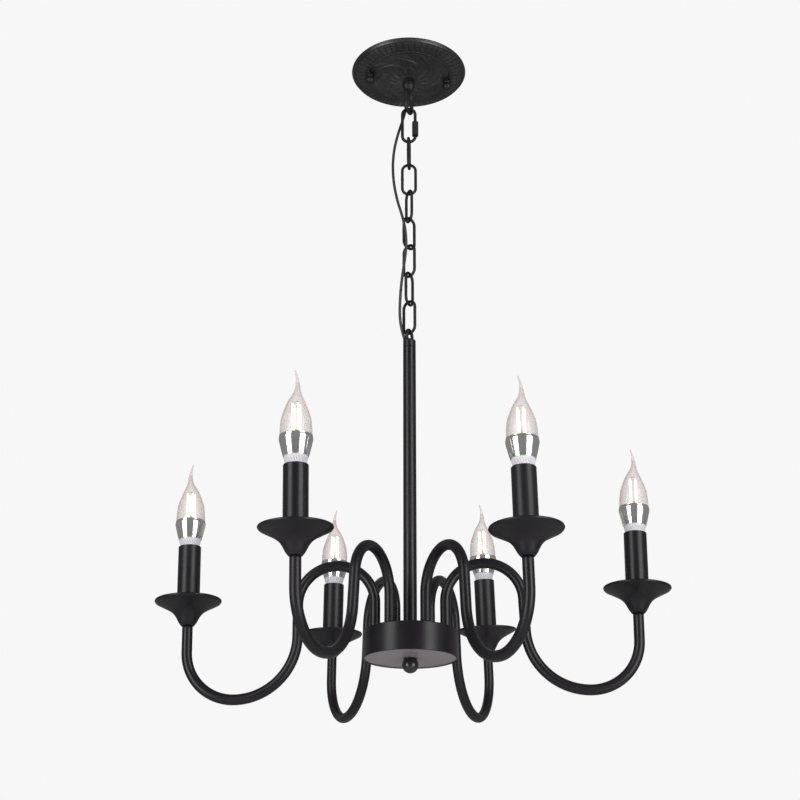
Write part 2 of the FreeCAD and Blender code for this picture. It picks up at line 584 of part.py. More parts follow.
def candle_sleeve():
    """Tube with its upper edge rolled in to the mouth."""
    radius, mouth, wall = SLEEVE_DIAMETER / 2, SLEEVE_MOUTH / 2, SLEEVE_WALL
    low, top, roll = SLEEVE_BOTTOM, SLEEVE_TOP, SLEEVE_SHOULDER
    return turned([(radius - wall, low), (radius, low), (radius, top - roll),
                   (radius - 0.3, top - roll * 0.5), (radius - 0.8, top - roll * 0.15),
                   (mouth + 0.4, top), (mouth, top), (mouth, top - wall), (radius - wall, top - roll)])


def lampholder():
    """Moulded holder: threaded foot on the arm's spigot, slim waist, socket for the lamp cap."""
    radius = HOLDER_DIAMETER / 2
    foot = SPIGOT_DIAMETER / 2 + 2.5
    base = CUP_FLOOR + FIT
    socket_floor = HOLDER_TOP - SOCKET_DEPTH
    body = turned([(0, base), (foot, base), (foot, base + 14), (radius, base + 20), (radius, HOLDER_TOP),
                   (0, HOLDER_TOP)])
    body = body.cut(rod(HOLDER_BORE, socket_floor, HOLDER_TOP + 1))
    body = body.cut(rod(SPIGOT_DIAMETER + 2 * RUN, base - 1, TIP_SPIGOT + 1))
    return body.cut(rod(6.0, TIP_SPIGOT, socket_floor + 1))


# ---- screw lamp, in the candle's frame ----
LAMP_BASE_Z = SLEEVE_TOP - LAMP_SINK
COLLAR_Z = LAMP_BASE_Z + RING_HEIGHT
GLASS_Z = COLLAR_Z + COLLAR_HEIGHT


# the flame outline, as shares of the glass's radius and height
FLAME = [(1.0, 0.0), (0.96, 0.18), (0.887, 0.288), (0.735, 0.395), (0.548, 0.505), (0.318, 0.613),
         (0.222, 0.668), (0.135, 0.777), (0.078, 0.884), (0.045, 1.0)]


def lamp_glass():
    """Thin flame-shaped envelope drawn out to a slim point."""
    foot, wall = GLASS_DIAMETER / 2, GLASS_WALL
    outer = [(foot * out, GLASS_HEIGHT * up) for out, up in FLAME]
    inner = [(foot * out - wall, GLASS_HEIGHT * up) for out, up in FLAME[:-3]]
    solid = turned_curve(outer, [(0, GLASS_HEIGHT), (0, 0)])
    hollow = turned_curve(inner, [(0, inner[-1][1]), (0, 0)])
    return shift(solid.cut(hollow), 0, 0, GLASS_Z)


def lamp_base():
    """Tapered ring and collar housing, the screw cap below it and the filament set above it."""
    foot, ring, collar = RING_FOOT / 2, RING_DIAMETER / 2, COLLAR_DIAMETER / 2
    glass = GLASS_DIAMETER / 2
    housing = turned([(0, LAMP_BASE_Z), (foot, LAMP_BASE_Z), (ring - 0.2, COLLAR_Z), (ring, COLLAR_Z),
                      (collar - 1.6, COLLAR_Z + COLLAR_HEIGHT * 0.62), (collar, GLASS_Z - 3.6),
                      (collar, GLASS_Z - 2.4), (glass + 0.2, GLASS_Z), (0, GLASS_Z)])
    wall = HOUSING_WALL
    well = turned([(0, LAMP_BASE_Z + wall), (foot - wall, LAMP_BASE_Z + wall), (ring - wall, COLLAR_Z),
                   (collar - 1.6 - wall, COLLAR_Z + COLLAR_HEIGHT * 0.62), (collar - wall, GLASS_Z - 3.6),
                   (glass - wall, GLASS_Z - wall), (0, GLASS_Z - wall)])
    housing = housing.cut(well)
    cap = rod(CAP_DIAMETER, LAMP_BASE_Z - CAP_LENGTH, LAMP_BASE_Z)
    filaments = []
    for k in range(FILAMENT_COUNT):
        angle = 2 * math.pi * k / FILAMENT_COUNT
        x, y = FILAMENT_CIRCLE / 2 * math.cos(angle), FILAMENT_CIRCLE / 2 * math.sin(angle)
        filaments.append(rod(FILAMENT_DIAMETER, GLASS_Z, GLASS_Z + FILAMENT_LENGTH, x, y))
    return housing.fuse([cap] + filaments)


def lamp_contact():
    """Insulated contact button under the screw cap."""
    high = LAMP_BASE_Z - CAP_LENGTH
    low = high - TIP_LENGTH
    return turned([(0, high), (TIP_DIAMETER, high), (TIP_DIAMETER / 2, low), (0, low)])


# ---- build every node ----
def build():
    nodes = {
        "mounting_strap": mounting_strap(),
        "strap_studs": strap_studs(),
        "canopy": canopy(),
        "canopy_cap_nuts": canopy_cap_nuts(),
        "canopy_loop": canopy_loop(),
        "canopy_loop_nut": canopy_loop_nut(),
        "lead_bush": lead_bush(),
        "terminal_block": terminal_block(),
        "quick_link": quick_link(),
        "quick_link_nut": quick_link_nut(),
        "supply_lead": supply_lead(),
        "stem_loop": stem_loop(),
        "stem": stem(),
        "hub_drum": hub_drum(),
        "hub_cover": hub_cover(),
        "hub_nipple": hub_nipple(),
        "hub_nuts": hub_nuts(),
        "hub_connectors": hub_connectors(),
        "finial": finial(),
        "arm_nuts": arm_nuts(),
    }
    for index in range(LINK_COUNT):
        nodes["chain_link_%d" % (index + 1)] = chain_link(index)
    cup_shape, glass, base, contact = cup(), lamp_glass(), lamp_base(), lamp_contact()
    sleeve, holder = candle_sleeve(), lampholder()
    frames = [tip_frame(index) for index in range(ARM_COUNT)]
    for index, frame in enumerate(frames):
        number = index + 1
        nodes["arm_%d" % number] = arm(index)
        nodes["bobeche_%d" % number] = placed(cup_shape, frame)
        nodes["bulb_glass_%d" % number] = placed(glass, frame)
        nodes["bulb_base_%d" % number] = placed(base, frame)
        nodes["bulb_contact_%d" % number] = placed(contact, frame)
    nodes["candle_sleeves"] = [placed(sleeve, frame) for frame in frames]
    nodes["lampholders"] = [placed(holder, frame) for frame in frames]
    for name, shapes in nodes.items():
        save(name, shapes)
    return nodes


NODES = build()
print(len(NODES), "nodes")
print("lamp travel", round(LAMP_THREAD_PITCH * LAMP_TURNS, 3), "over", LAMP_TURNS, "turns")
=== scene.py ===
import json
import math
import bmesh
import bpy
import numpy as np
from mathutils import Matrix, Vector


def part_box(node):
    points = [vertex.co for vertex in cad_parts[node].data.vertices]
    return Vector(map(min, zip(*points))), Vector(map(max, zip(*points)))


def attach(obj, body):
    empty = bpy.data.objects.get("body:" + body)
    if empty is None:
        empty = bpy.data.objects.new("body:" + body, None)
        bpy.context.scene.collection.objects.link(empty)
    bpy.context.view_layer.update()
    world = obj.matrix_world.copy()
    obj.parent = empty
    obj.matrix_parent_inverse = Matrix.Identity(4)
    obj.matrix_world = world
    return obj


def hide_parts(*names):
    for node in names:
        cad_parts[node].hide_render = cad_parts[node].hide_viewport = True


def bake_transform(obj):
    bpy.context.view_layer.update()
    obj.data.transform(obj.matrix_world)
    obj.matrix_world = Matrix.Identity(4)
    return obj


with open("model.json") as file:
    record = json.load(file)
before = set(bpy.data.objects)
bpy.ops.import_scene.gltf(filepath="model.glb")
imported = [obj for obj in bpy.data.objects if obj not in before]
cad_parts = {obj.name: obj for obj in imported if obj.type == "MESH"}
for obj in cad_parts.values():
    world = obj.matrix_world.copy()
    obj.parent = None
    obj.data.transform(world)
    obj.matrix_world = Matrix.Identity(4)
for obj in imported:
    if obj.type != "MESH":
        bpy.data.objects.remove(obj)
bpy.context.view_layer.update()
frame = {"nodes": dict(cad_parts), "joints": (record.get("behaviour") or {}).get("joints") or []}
joints = {j["name"]: j for j in frame["joints"]}
mm = 0.001
print("frame loaded:", len(frame["nodes"]), "nodes")

# the camera looks up at the light from a little in front of the hub
view = {"place": (0.0, -1.570, -1.124), "up": 22.42, "turn": 0.42, "lens": 63.53, "film": 36.0}
camera = bpy.data.objects.new("camera", bpy.data.cameras.new("camera"))
bpy.context.scene.collection.objects.link(camera)
camera.data.lens = view["lens"]
camera.data.sensor_width = view["film"]
camera.location = view["place"]
camera.rotation_euler = (math.radians(90 + view["up"]), 0.0, math.radians(view["turn"]))
bpy.context.scene.camera = camera
bpy.context.scene.view_settings.view_transform = "Standard"


# shader maths: a Wire is one socket, and + - * / ** on it add Math nodes
class Wire:
    def __init__(self, finish, socket):
        self.finish = finish
        self.socket = socket

    def math(self, kind, first, second):
        return self.finish.node("ShaderNodeMath", {"operation": kind}, {0: first, 1: second})

    def __add__(self, other):
        return self.math("ADD", self, other)

    def __radd__(self, other):
        return self.math("ADD", other, self)

    def __sub__(self, other):
        return self.math("SUBTRACT", self, other)

    def __rsub__(self, other):
        return self.math("SUBTRACT", other, self)

    def __mul__(self, other):
        return self.math("MULTIPLY", self, other)

    def __rmul__(self, other):
        return self.math("MULTIPLY", other, self)

    def __pow__(self, other):
        return self.math("POWER", self, other)


class Finish:
    # one material: node() makes any node from its type, its settings and its sockets
    def __init__(self, name):
        self.material = bpy.data.materials.new(name)
        self.material.use_nodes = True
        self.tree = self.material.node_tree
        self.tree.nodes.clear()
        self.place = self.node("ShaderNodeTexCoord", {}, {}, "Object")

    def node(self, kind, settings, sockets, output=0):
        made = self.tree.nodes.new(kind)
        for key, value in settings.items():
            if key == "stops":
                for stop, (at, colour) in zip(made.color_ramp.elements, value):
                    stop.position = at
                    stop.color = colour
            else:
                setattr(made, key, value)
        for key, value in sockets.items():
            if isinstance(value, Wire):
                self.tree.links.new(value.socket, made.inputs[key])
            else:
                made.inputs[key].default_value = value
        return Wire(self, made.outputs[output])

    def noise(self, perMetre, detail=2.0, stretch=None):
        # fractal noise, perMetre features in a metre, as a value near 0.5
        where = self.place
        if stretch:
            where = self.node("ShaderNodeMapping", {}, {"Vector": self.place, "Scale": stretch})
        return self.node("ShaderNodeTexNoise", {}, {"Vector": where, "Scale": perMetre, "Detail": detail})

    def cells(self, perMetre, output="Distance"):
        return self.node("ShaderNodeTexVoronoi", {}, {"Vector": self.place, "Scale": perMetre}, output)

    def span(self, value, low, high, toLow=0.0, toHigh=1.0):
        # stretches low..high of a value onto toLow..toHigh and holds it there
        sockets = {"Value": value, "From Min": low, "From Max": high, "To Min": toLow, "To Max": toHigh}
        return self.node("ShaderNodeMapRange", {}, sockets)

    def mixed(self, share, first, second):
        sockets = {"Factor": share, 6: (*first, 1) if isinstance(first, tuple) else first,
                   7: (*second, 1) if isinstance(second, tuple) else second}
        return self.node("ShaderNodeMix", {"data_type": "RGBA"}, sockets, 2)

    def bump(self, height, depth, strength=1.0):
        return self.node("ShaderNodeBump", {}, {"Height": height, "Distance": depth, "Strength": strength})

    def coated(self, **sockets):
        named = {key.replace("_", " "): value for key, value in sockets.items()}
        return self.node("ShaderNodeBsdfPrincipled", {}, named)

    def done(self, shader):
        out = self.tree.nodes.new("ShaderNodeOutputMaterial")
        self.tree.links.new(shader.socket, out.inputs["Surface"])
        return self.material


def satinBlack(name, cool, warm, rough, peelDepth, flecks):
    # powder coat: slow drift between two blacks, orange peel near a millimetre, fine specks
    f = Finish(name)
    drift = f.span(f.noise(9.0, 3.0), 0.38, 0.62)
    peel = f.noise(850.0, 2.0)
    speck = f.span(f.noise(5200.0, 1.0), 0.62, 0.75)
    rub = f.span(f.noise(38.0, 5.0), 0.45, 0.7)
    colour = f.mixed(drift, cool, warm)
    colour = f.mixed(speck * flecks, colour, (0.060, 0.055, 0.058))
    shade = rough + 0.07 * drift + 0.09 * (peel - 0.5) - 0.05 * rub
    normal = f.bump(peel + flecks * speck, peelDepth)
    return f.done(f.coated(Base_Color=colour, Roughness=shade, Specular_IOR_Level=0.27, Coat_Weight=0.02,
                           Coat_Roughness=0.16, Normal=normal))


def castBlack(name):
    # coated casting: pits between grains; raised relief painted lighter as a painted highlight, hollows left
    # darker as painted shade
    f = Finish(name)
    grain = f.noise(520.0, 5.0)
    pits = f.span(f.cells(900.0), 0.0, 0.35)
    drift = f.span(f.noise(30.0, 4.0), 0.35, 0.65)
    colour = f.mixed(drift, (0.004, 0.004, 0.005), (0.016, 0.015, 0.017))
    paintedReliefLight = f.node("ShaderNodeAttribute", {"attribute_name": "paintedReliefLight"}, {}, "Fac")
    colour = f.mixed(f.span(grain, 0.5, 0.75) * 0.4, colour, (0.045, 0.044, 0.046))
    # the raised relief is painted lighter: a painted highlight on ridges and beads, painted shade left in the
    # hollows between them
    colour = f.mixed(f.span(paintedReliefLight * (0.55 + 0.9 * drift), 0.45, 1.1) * 0.8, colour, (0.075, 0.072, 0.075))
    shade = 0.26 + 0.2 * grain - 0.08 * drift
    normal = f.bump(grain * 0.7 + pits * 0.3, 0.0004)
    return f.done(f.coated(Base_Color=colour, Roughness=shade, Specular_IOR_Level=0.5, Coat_Weight=0.05,
                           Coat_Roughness=0.2, Normal=normal))


def glossBlack(name):
    f = Finish(name)
    drift = f.noise(60.0, 3.0)
    ripple = f.noise(420.0, 1.0)
    colour = f.mixed(f.span(drift, 0.4, 0.6), (0.008, 0.007, 0.008), (0.016, 0.013, 0.014))
    return f.done(f.coated(Base_Color=colour, Roughness=0.16 + 0.1 * (drift - 0.4), Coat_Weight=0.1,
                           Coat_Roughness=0.05, Normal=f.bump(ripple, 0.00006)))


def turnedPlate(name):
    # thin coat over a spun plate: rings about the middle under a soft mauve grey
    f = Finish(name)
    parts = f.node("ShaderNodeSeparateXYZ", {}, {"Vector": f.place}, "X")
    x, y = parts, Wire(f, parts.socket.node.outputs["Y"])
    radius = (x * x + y * y) ** 0.5
    rings = f.node("ShaderNodeMath", {"operation": "SINE"}, {0: radius * 7200.0 + 5.0 * f.noise(70.0)})
    cloud = f.span(f.noise(26.0, 4.0), 0.35, 0.65)
    peel = f.noise(700.0, 2.0)
    colour = f.mixed(cloud, (0.222, 0.199, 0.214), (0.262, 0.234, 0.250))
    colour = f.mixed(f.span(peel, 0.55, 0.8) * 0.12, colour, (0.33, 0.30, 0.315))
    return f.done(f.coated(Base_Color=colour, Roughness=0.30 + 0.04 * rings + 0.06 * cloud,
                           Normal=f.bump(rings * 0.25 + peel, 0.00003)))


def zincSteel(name):
    # bright zinc: spangle cells of slightly different greys under fine drawing lines
    f = Finish(name)
    spangle = f.node("ShaderNodeSeparateColor", {}, {"Color": f.cells(420.0, "Color")}, "Red")
    lines = f.noise(260.0, 3.0, (1.0, 14.0, 14.0))
    stain = f.span(f.noise(55.0, 4.0), 0.5, 0.72)
    colour = f.mixed(spangle, (0.50, 0.51, 0.52), (0.68, 0.68, 0.66))
    colour = f.mixed(stain * 0.4, colour, (0.36, 0.34, 0.30))
    shade = 0.24 + 0.12 * spangle + 0.1 * lines + 0.12 * stain
    return f.done(f.coated(Base_Color=colour, Metallic=1.0, Roughness=shade, Normal=f.bump(lines, 0.00008)))


def mouldedPlastic(name, first, second, rough, depth):
    # spark-eroded mould texture with a faint flow across the moulding
    f = Finish(name)
    flow = f.span(f.noise(24.0, 4.0, (1.0, 1.0, 0.3)), 0.35, 0.65)
    grain = f.noise(1900.0, 3.0)
    colour = f.mixed(flow, first, second)
    shade = rough + 0.12 * (grain - 0.5) + 0.05 * flow
    return f.done(f.coated(Base_Color=colour, Roughness=shade, Normal=f.bump(grain, depth)))


def leadJacket(name):
    # extruded jacket: fine lines along it and a slow lay of the cores beneath, read from its own map
    f = Finish(name)
    chart = f.node("ShaderNodeTexCoord", {}, {}, "UV")
    parts = f.node("ShaderNodeSeparateXYZ", {}, {"Vector": chart}, "X")
    around, along = parts, Wire(f, parts.socket.node.outputs["Y"])
    lay = f.node("ShaderNodeMath", {"operation": "SINE"}, {0: around * 12.566 + along * 251.0})
    drawn = f.node("ShaderNodeTexNoise", {}, {"Vector": f.node("ShaderNodeMapping", {}, {
        "Vector": chart, "Scale": (40.0, 18.0, 1.0)}), "Scale": 1.0, "Detail": 3.0})
    colour = f.mixed(f.span(drawn, 0.4, 0.65), (0.011, 0.011, 0.012), (0.028, 0.026, 0.028))
    return f.done(f.coated(Base_Color=colour, Roughness=0.42 + 0.14 * drawn,
                           Normal=f.bump(lay * 0.5 + drawn * 0.4, 0.00012)))


def mirrorCollar(name):
    # plated collar: near mirror with draw lines up it, fingerprints and a faint warm cast
    f = Finish(name)
    smudge = f.span(f.noise(90.0, 5.0), 0.52, 0.72)
    drawn = f.noise(900.0, 2.0, (1.0, 1.0, 0.06))
    colour = f.mixed(smudge, (0.93, 0.92, 0.92), (0.84, 0.83, 0.85))
    return f.done(f.coated(Base_Color=colour, Metallic=1.0, Roughness=0.10 + 0.05 * smudge + 0.02 * drawn,
                           Normal=f.bump(drawn, 0.00001)))


def threadedBrass(name, first, second):
    f = Finish(name)
    tarnish = f.span(f.noise(160.0, 4.0), 0.42, 0.68)
    scratch = f.noise(700.0, 2.0, (1.0, 1.0, 9.0))
    colour = f.mixed(tarnish, first, second)
    return f.done(f.coated(Base_Color=colour, Metallic=1.0, Roughness=0.2 + 0.16 * tarnish + 0.1 * scratch,
                           Normal=f.bump(scratch, 0.00005)))


def thinGlass(name):
    # clear envelope: seen through where it faces the eye, greyer where it turns away and up the thick tip
    f = Finish(name)
    chart = f.node("ShaderNodeTexCoord", {}, {}, "UV")
    along = f.node("ShaderNodeSeparateXYZ", {}, {"Vector": chart}, "Y")
    tip = f.span(along, 0.060, 0.088, 0.0, 0.42)
    edge = f.node("ShaderNodeLayerWeight", {}, {"Blend": 0.42}, "Facing")
    flow = f.span(f.noise(45.0, 3.0, (1.0, 1.0, 0.35)), 0.35, 0.65)
    tint = f.mixed(flow, (0.56, 0.50, 0.52), (0.60, 0.54, 0.50))
    ripple = f.bump(flow, 0.0002)
    gloss = f.coated(Base_Color=tint, Roughness=0.04 + 0.03 * flow, Coat_Weight=0.5, Normal=ripple)
    clear = f.node("ShaderNodeBsdfTransparent", {}, {"Color": (0.985, 0.978, 0.975, 1.0)})
    share = f.span(edge ** 1.5, 0.0, 1.0, 0.10, 0.72) + tip
    return f.done(f.node("ShaderNodeMixShader", {}, {0: share, 1: clear, 2: gloss}))


def glowingStick(name):
    # phosphor over a row of chips: brightest in the middle of each stick
    f = Finish(name)
    chips = f.cells(900.0)
    warm = f.mixed(f.span(chips, 0.0, 0.6), (1.0, 0.93, 0.78), (1.0, 0.86, 0.62))
    return f.done(f.coated(Base_Color=(0.95, 0.85, 0.55, 1.0), Roughness=0.55, Emission_Color=warm,
                           Emission_Strength=1.7))


finishes = {
    "satin": satinBlack("satinBlack", (0.0058, 0.0052, 0.0066), (0.0088, 0.0070, 0.0090),
                        rough=0.30, peelDepth=0.00005, flecks=0.08),
    "chain": satinBlack("chainBlack", (0.0050, 0.0047, 0.0056), (0.0080, 0.0068, 0.0078),
                        rough=0.42, peelDepth=0.00010, flecks=0.2),
    "sleeve": satinBlack("sleeveBlack", (0.0060, 0.0054, 0.0068), (0.0085, 0.0072, 0.0088),
                         rough=0.33, peelDepth=0.00002, flecks=0.04),
    "cast": castBlack("castBlack"),
    "gloss": glossBlack("glossBlack"),
    "plate": turnedPlate("undersidePlate"),
    "zinc": zincSteel("zincSteel"),
    "bush": mouldedPlastic("bushPlastic", (0.014, 0.014, 0.014), (0.026, 0.025, 0.025),
                           rough=0.46, depth=0.0002),
    "holder": mouldedPlastic("holderPlastic", (0.020, 0.018, 0.018), (0.035, 0.031, 0.030),
                             rough=0.40, depth=0.00012),
    "terminal": mouldedPlastic("terminalPlastic", (0.74, 0.72, 0.65), (0.82, 0.81, 0.76),
                               rough=0.44, depth=0.0001),
    "ring": mouldedPlastic("ventRingPlastic", (0.50, 0.49, 0.53), (0.60, 0.585, 0.61),
                           rough=0.38, depth=0.00018),
    "lead": leadJacket("leadJacket"),
    "collar": mirrorCollar("mirrorCollar"),
    "brass": threadedBrass("contactBrass", (0.66, 0.50, 0.24), (0.44, 0.33, 0.17)),
    "cap": threadedBrass("capNickel", (0.68, 0.67, 0.63), (0.50, 0.48, 0.44)),
    "glass": thinGlass("clearGlass"),
    "glow": glowingStick("glowingStick"),
}
print("finishes made:", len(finishes))


# shapes: a grid is an array of rows along a piece, columns round it, three numbers each
def rounded(corners, radii, closed=True, steps=5):
    # straight runs whose corners are eased by a short parabola, with a close row on each side of it
    corner = np.asarray(corners, float)
    count = len(corner)
    points = []
    for k in range(count):
        if not closed and k in (0, count - 1):
            points.append(corner[k][None])
            continue
        back = corner[k - 1] - corner[k]
        ahead = corner[(k + 1) % count] - corner[k]
        reach = min(radii[k], 0.45 * np.linalg.norm(back), 0.45 * np.linalg.norm(ahead))
        start = corner[k] + back / np.linalg.norm(back) * reach
        end = corner[k] + ahead / np.linalg.norm(ahead) * reach
        guard = 0.09 * (back / np.linalg.norm(back) * reach), 0.09 * (ahead / np.linalg.norm(ahead) * reach)
        t = np.linspace(0, 1, steps)[:, None]
        arc = (1 - t) ** 2 * start + 2 * t * (1 - t) * corner[k] + t ** 2 * end
        points.append(np.vstack([start + guard[0], arc, end + guard[1]]))
    return np.vstack(points)


def curveThrough(points, count):
    # natural cubic spline through the points, along their chord length
    p = np.asarray(points, float)
    s = np.concatenate([[0], np.cumsum(np.linalg.norm(np.diff(p, axis=0), axis=1))])
    h = np.diff(s)
    slope = np.diff(p, axis=0) / h[:, None]
    n = len(p)
    left, right = np.eye(n), np.zeros_like(p)
    inner = np.arange(1, n - 1)
    left[inner, inner - 1], left[inner, inner], left[inner, inner + 1] = h[:-1], 2 * (h[:-1] + h[1:]), h[1:]
    right[inner] = 6 * np.diff(slope, axis=0)
    bend = np.linalg.solve(left, right)
    u = np.linspace(0, s[-1], count)
    k = np.clip(np.searchsorted(s, u, "right") - 1, 0, n - 2)
    a, b, w = (s[k + 1] - u)[:, None], (u - s[k])[:, None], h[k][:, None]
    return (bend[k] * a ** 3 + bend[k + 1] * b ** 3) / (6 * w) + (p[k] / w - bend[k] * w / 6) * a + \
        (p[k + 1] / w - bend[k + 1] * w / 6) * b


def lathe(outline, columns):
    # each outline point (radius, height) carried round the upright axis
    outline = np.asarray(outline, float)
    angle = np.linspace(0, 2 * math.pi, columns, endpoint=False)
    r, z = outline[:, :1], outline[:, 1:2]
    return np.stack([r * np.cos(angle), r * np.sin(angle), z + 0 * angle], axis=-1)


def sweep(path, radius, side, columns, loop=False):
    # a round section carried along a path: side and tangent x side span each section
    ahead = np.roll(path, -1, axis=0) - np.roll(path, 1, axis=0) if loop else np.gradient(path, axis=0)
    tangent = ahead / np.linalg.norm(ahead, axis=1, keepdims=True)
    side = side - (side * tangent).sum(1, keepdims=True) * tangent
    side = side / np.linalg.norm(side, axis=1, keepdims=True)
    over = np.cross(tangent, side)
    angle = np.linspace(0, 2 * math.pi, columns, endpoint=False)
    spoke = np.cos(angle)[None, :, None] * side[:, None] + np.sin(angle)[None, :, None] * over[:, None]
    return path[:, None] + np.broadcast_to(radius, len(path))[:, None, None] * spoke


def capped(grid, guard=0.9):
    # closes both ends of a tube: each end row shrinks to its own middle, past a row at guard of its radius
    first, last = grid[0].mean(0), grid[-1].mean(0)
    start = [first + 0 * grid[0], first + guard * (grid[0] - first)]
    end = [last + guard * (grid[-1] - last), last + 0 * grid[-1]]
    return np.concatenate([start, grid, end])


def piece(name, grids, finish, body, nodes=(), loop=False):
    # joins the grids into one mesh with a map: columns across, length in metres up
    points, faces, charts, start = [], [], [], 0
    for grid in grids:
        rows, columns = grid.shape[:2]
        i = np.arange(rows if loop else rows - 1)[:, None]
        j = np.arange(columns)[None, :]
        nextRow, nextColumn = (i + 1) % rows, (j + 1) % columns
        quad = [i * columns + j, i * columns + nextColumn, nextRow * columns + nextColumn,
                nextRow * columns + j]
        faces.append(start + np.stack(quad, axis=-1).reshape(-1, 4))
        step = np.linalg.norm(np.diff(grid[:, 0], axis=0), axis=1)
        length = np.concatenate([[0], np.cumsum(step), [step.sum()]])
        across = [j / columns + 0.0 * i, (j + 1) / columns + 0.0 * i]
        up = [length[i] + 0.0 * j, length[i + 1] + 0.0 * j]
        chart = [(across[0], up[0]), (across[1], up[0]), (across[1], up[1]), (across[0], up[1])]
        charts.append(np.stack([np.stack(c, axis=-1) for c in chart], axis=2).reshape(-1, 2))
        points.append(grid.reshape(-1, 3))
        start += rows * columns
    mesh = bpy.data.meshes.new(name)
    mesh.from_pydata(np.vstack(points).tolist(), [], np.vstack(faces).tolist())
    mesh.uv_layers.new(name="chart").data.foreach_set("uv", np.vstack(charts).ravel())
    obj = bpy.data.objects.new(name, mesh)
    bpy.context.scene.collection.objects.link(obj)
    closeSeams(mesh)
    mesh.shade_smooth()
    mesh.materials.append(finishes[finish])
    if body:
        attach(obj, body)
    if nodes:
        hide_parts(*nodes)
    return obj


def closeSeams(mesh, samePlace=1e-7, noLength=1e-8):
    # merges the points that share a place, so that poles and seams are closed
    work = bmesh.new()
    work.from_mesh(mesh)
    bmesh.ops.remove_doubles(work, verts=work.verts, dist=samePlace)
    bmesh.ops.dissolve_degenerate(work, edges=work.edges, dist=noLength)
    work.to_mesh(mesh)
    work.free()


def stand(grid, foot, axis):
    # puts a shape made about the upright axis onto a foot point with its own axis
    z = np.asarray(axis, float) / np.linalg.norm(axis)
    x = np.array([1.0, 0, 0]) - z[0] * z
    x /= np.linalg.norm(x)
    return np.asarray(foot) + grid @ np.stack([x, np.cross(z, x), z])


def ringPath(length, width, wire, top, bendCount=18, limbCount=7):
    # centre line of an oval ring that stands in the XZ plane: two half circles and two straight limbs
    bend = (width - wire) / 2
    upper, lower = top - bend, top - (length - wire) + bend
    t = np.linspace(0, math.pi, bendCount)
    limb = np.linspace(upper, lower, limbCount + 2)[1:-1]
    across = np.full(limbCount, bend)
    x = np.concatenate([bend * np.cos(t), -across, -bend * np.cos(t), across])
    z = np.concatenate([upper + bend * np.sin(t), limb, lower - bend * np.sin(t), limb[::-1]])
    return np.stack([x, 0 * x, z], axis=-1)


def turned(grid, degrees):
    # a turn about the upright axis through the origin
    c, s = math.cos(math.radians(degrees)), math.sin(math.radians(degrees))
    return grid @ np.array([[c, s, 0], [-s, c, 0], [0, 0, 1]])


# the supply lead: its route's points steer one smooth line, cut where the chain's bodies meet
lead = {"diameter": 3.5 * mm, "columns": 16, "cuts": [-0.045, -0.0903, -0.1327, -0.1719, -0.2112, -0.2505,
                                                      -0.2898, -0.3291, -0.3684, -0.408]}
leadRoute = [
    (16.0, 17.0, -7.0), (9.5, 17.0, -7.0), (3.0, 16.4, -9.6), (-1.4, 15.0, -15.2),
    (-2.9, 13.6, -22.5), (-3.3, 12.0, -36.0), (-3.6, 8.6, -54.0), (-6.2, 5.9, -70.5),
    (-11.3, 4.9, -87.5), (-16.4, 3.4, -108.0), (-19.8, 1.2, -129.0), (-21.0, -1.4, -153.0),
    (-19.4, -4.0, -178.5), (-15.2, -6.6, -203.5), (-9.9, -9.0, -223.5), (-6.0, -9.8, -240.0),
    (-3.8, -9.4, -256.5), (-3.6, -8.2, -273.0), (-5.4, -7.4, -289.0), (-7.6, -7.0, -305.0),
    (-9.7, -6.4, -322.0), (-11.1, -4.9, -339.0), (-11.7, -3.2, -353.5), (-11.7, -1.8, -365.0),
    (-10.8, -0.6, -375.0), (-8.7, 0.7, -385.0), (-6.0, 1.8, -394.5), (-3.9, 2.3, -406.0),
    (-2.8, 2.3, -424.0), (-2.1, 2.1, -462.0), (-1.5, 1.7, -518.0), (-1.1, 1.2, -575.0),
    (-0.8, 0.5, -630.0), (-0.6, -0.3, -680.0), (-0.5, -0.9, -718.0), (-0.4, -1.2, -750.1),
    (-0.4, -1.6, -766.1), (-0.4, -4.6, -774.7), (-0.4, -11.2, -779.7), (-0.4, -19.0, -781.1),
]


def leadLine():
    # the smooth line of the lead, as the points of a curve with no bevel
    curve = bpy.data.curves.new("leadRoute", "CURVE")
    curve.dimensions = "3D"
    curve.resolution_u = 8
    spline = curve.splines.new("NURBS")
    spline.points.add(len(leadRoute) - 1)
    for point, (x, y, z) in zip(spline.points, leadRoute):
        point.co = (x * mm, y * mm, z * mm, 1.0)
    spline.order_u = 3
    spline.use_endpoint_u = True
    holder = bpy.data.objects.new("leadRoute", curve)
    mesh = bpy.data.meshes.new_from_object(holder)
    line = np.zeros(len(mesh.vertices) * 3)
    mesh.vertices.foreach_get("co", line)
    bpy.data.objects.remove(holder)
    return line.reshape(-1, 3)


def makeLead():
    line = leadLine()
    chain = ["canopy", "quick_link"] + ["chain_link_%d" % (k + 1) for k in range(7)] + ["fixture"]
    ends = [0] + [int(np.argmax(line[:, 2] < z)) for z in lead["cuts"]] + [len(line) - 1]
    diagonal = np.array([1.0, 1.0, 0.0])
    total = 0.0
    for k, (first, last) in enumerate(zip(ends[:-1], ends[1:])):
        run = line[first:last + 1]
        grid = capped(sweep(run, lead["diameter"] / 2, diagonal, lead["columns"]))
        blends = 0 < k < len(ends) - 2
        body = None if blends else (chain[0] if k == 0 else chain[-1])
        part = piece("supplyLead_%d" % (k + 1), [grid], "lead", body, ["supply_lead"])
        length = float(np.linalg.norm(np.diff(run, axis=0), axis=1).sum())
        total += length
        if blends:
            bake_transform(part)
    print("lead made:", round(total, 4), "m")


makeLead()

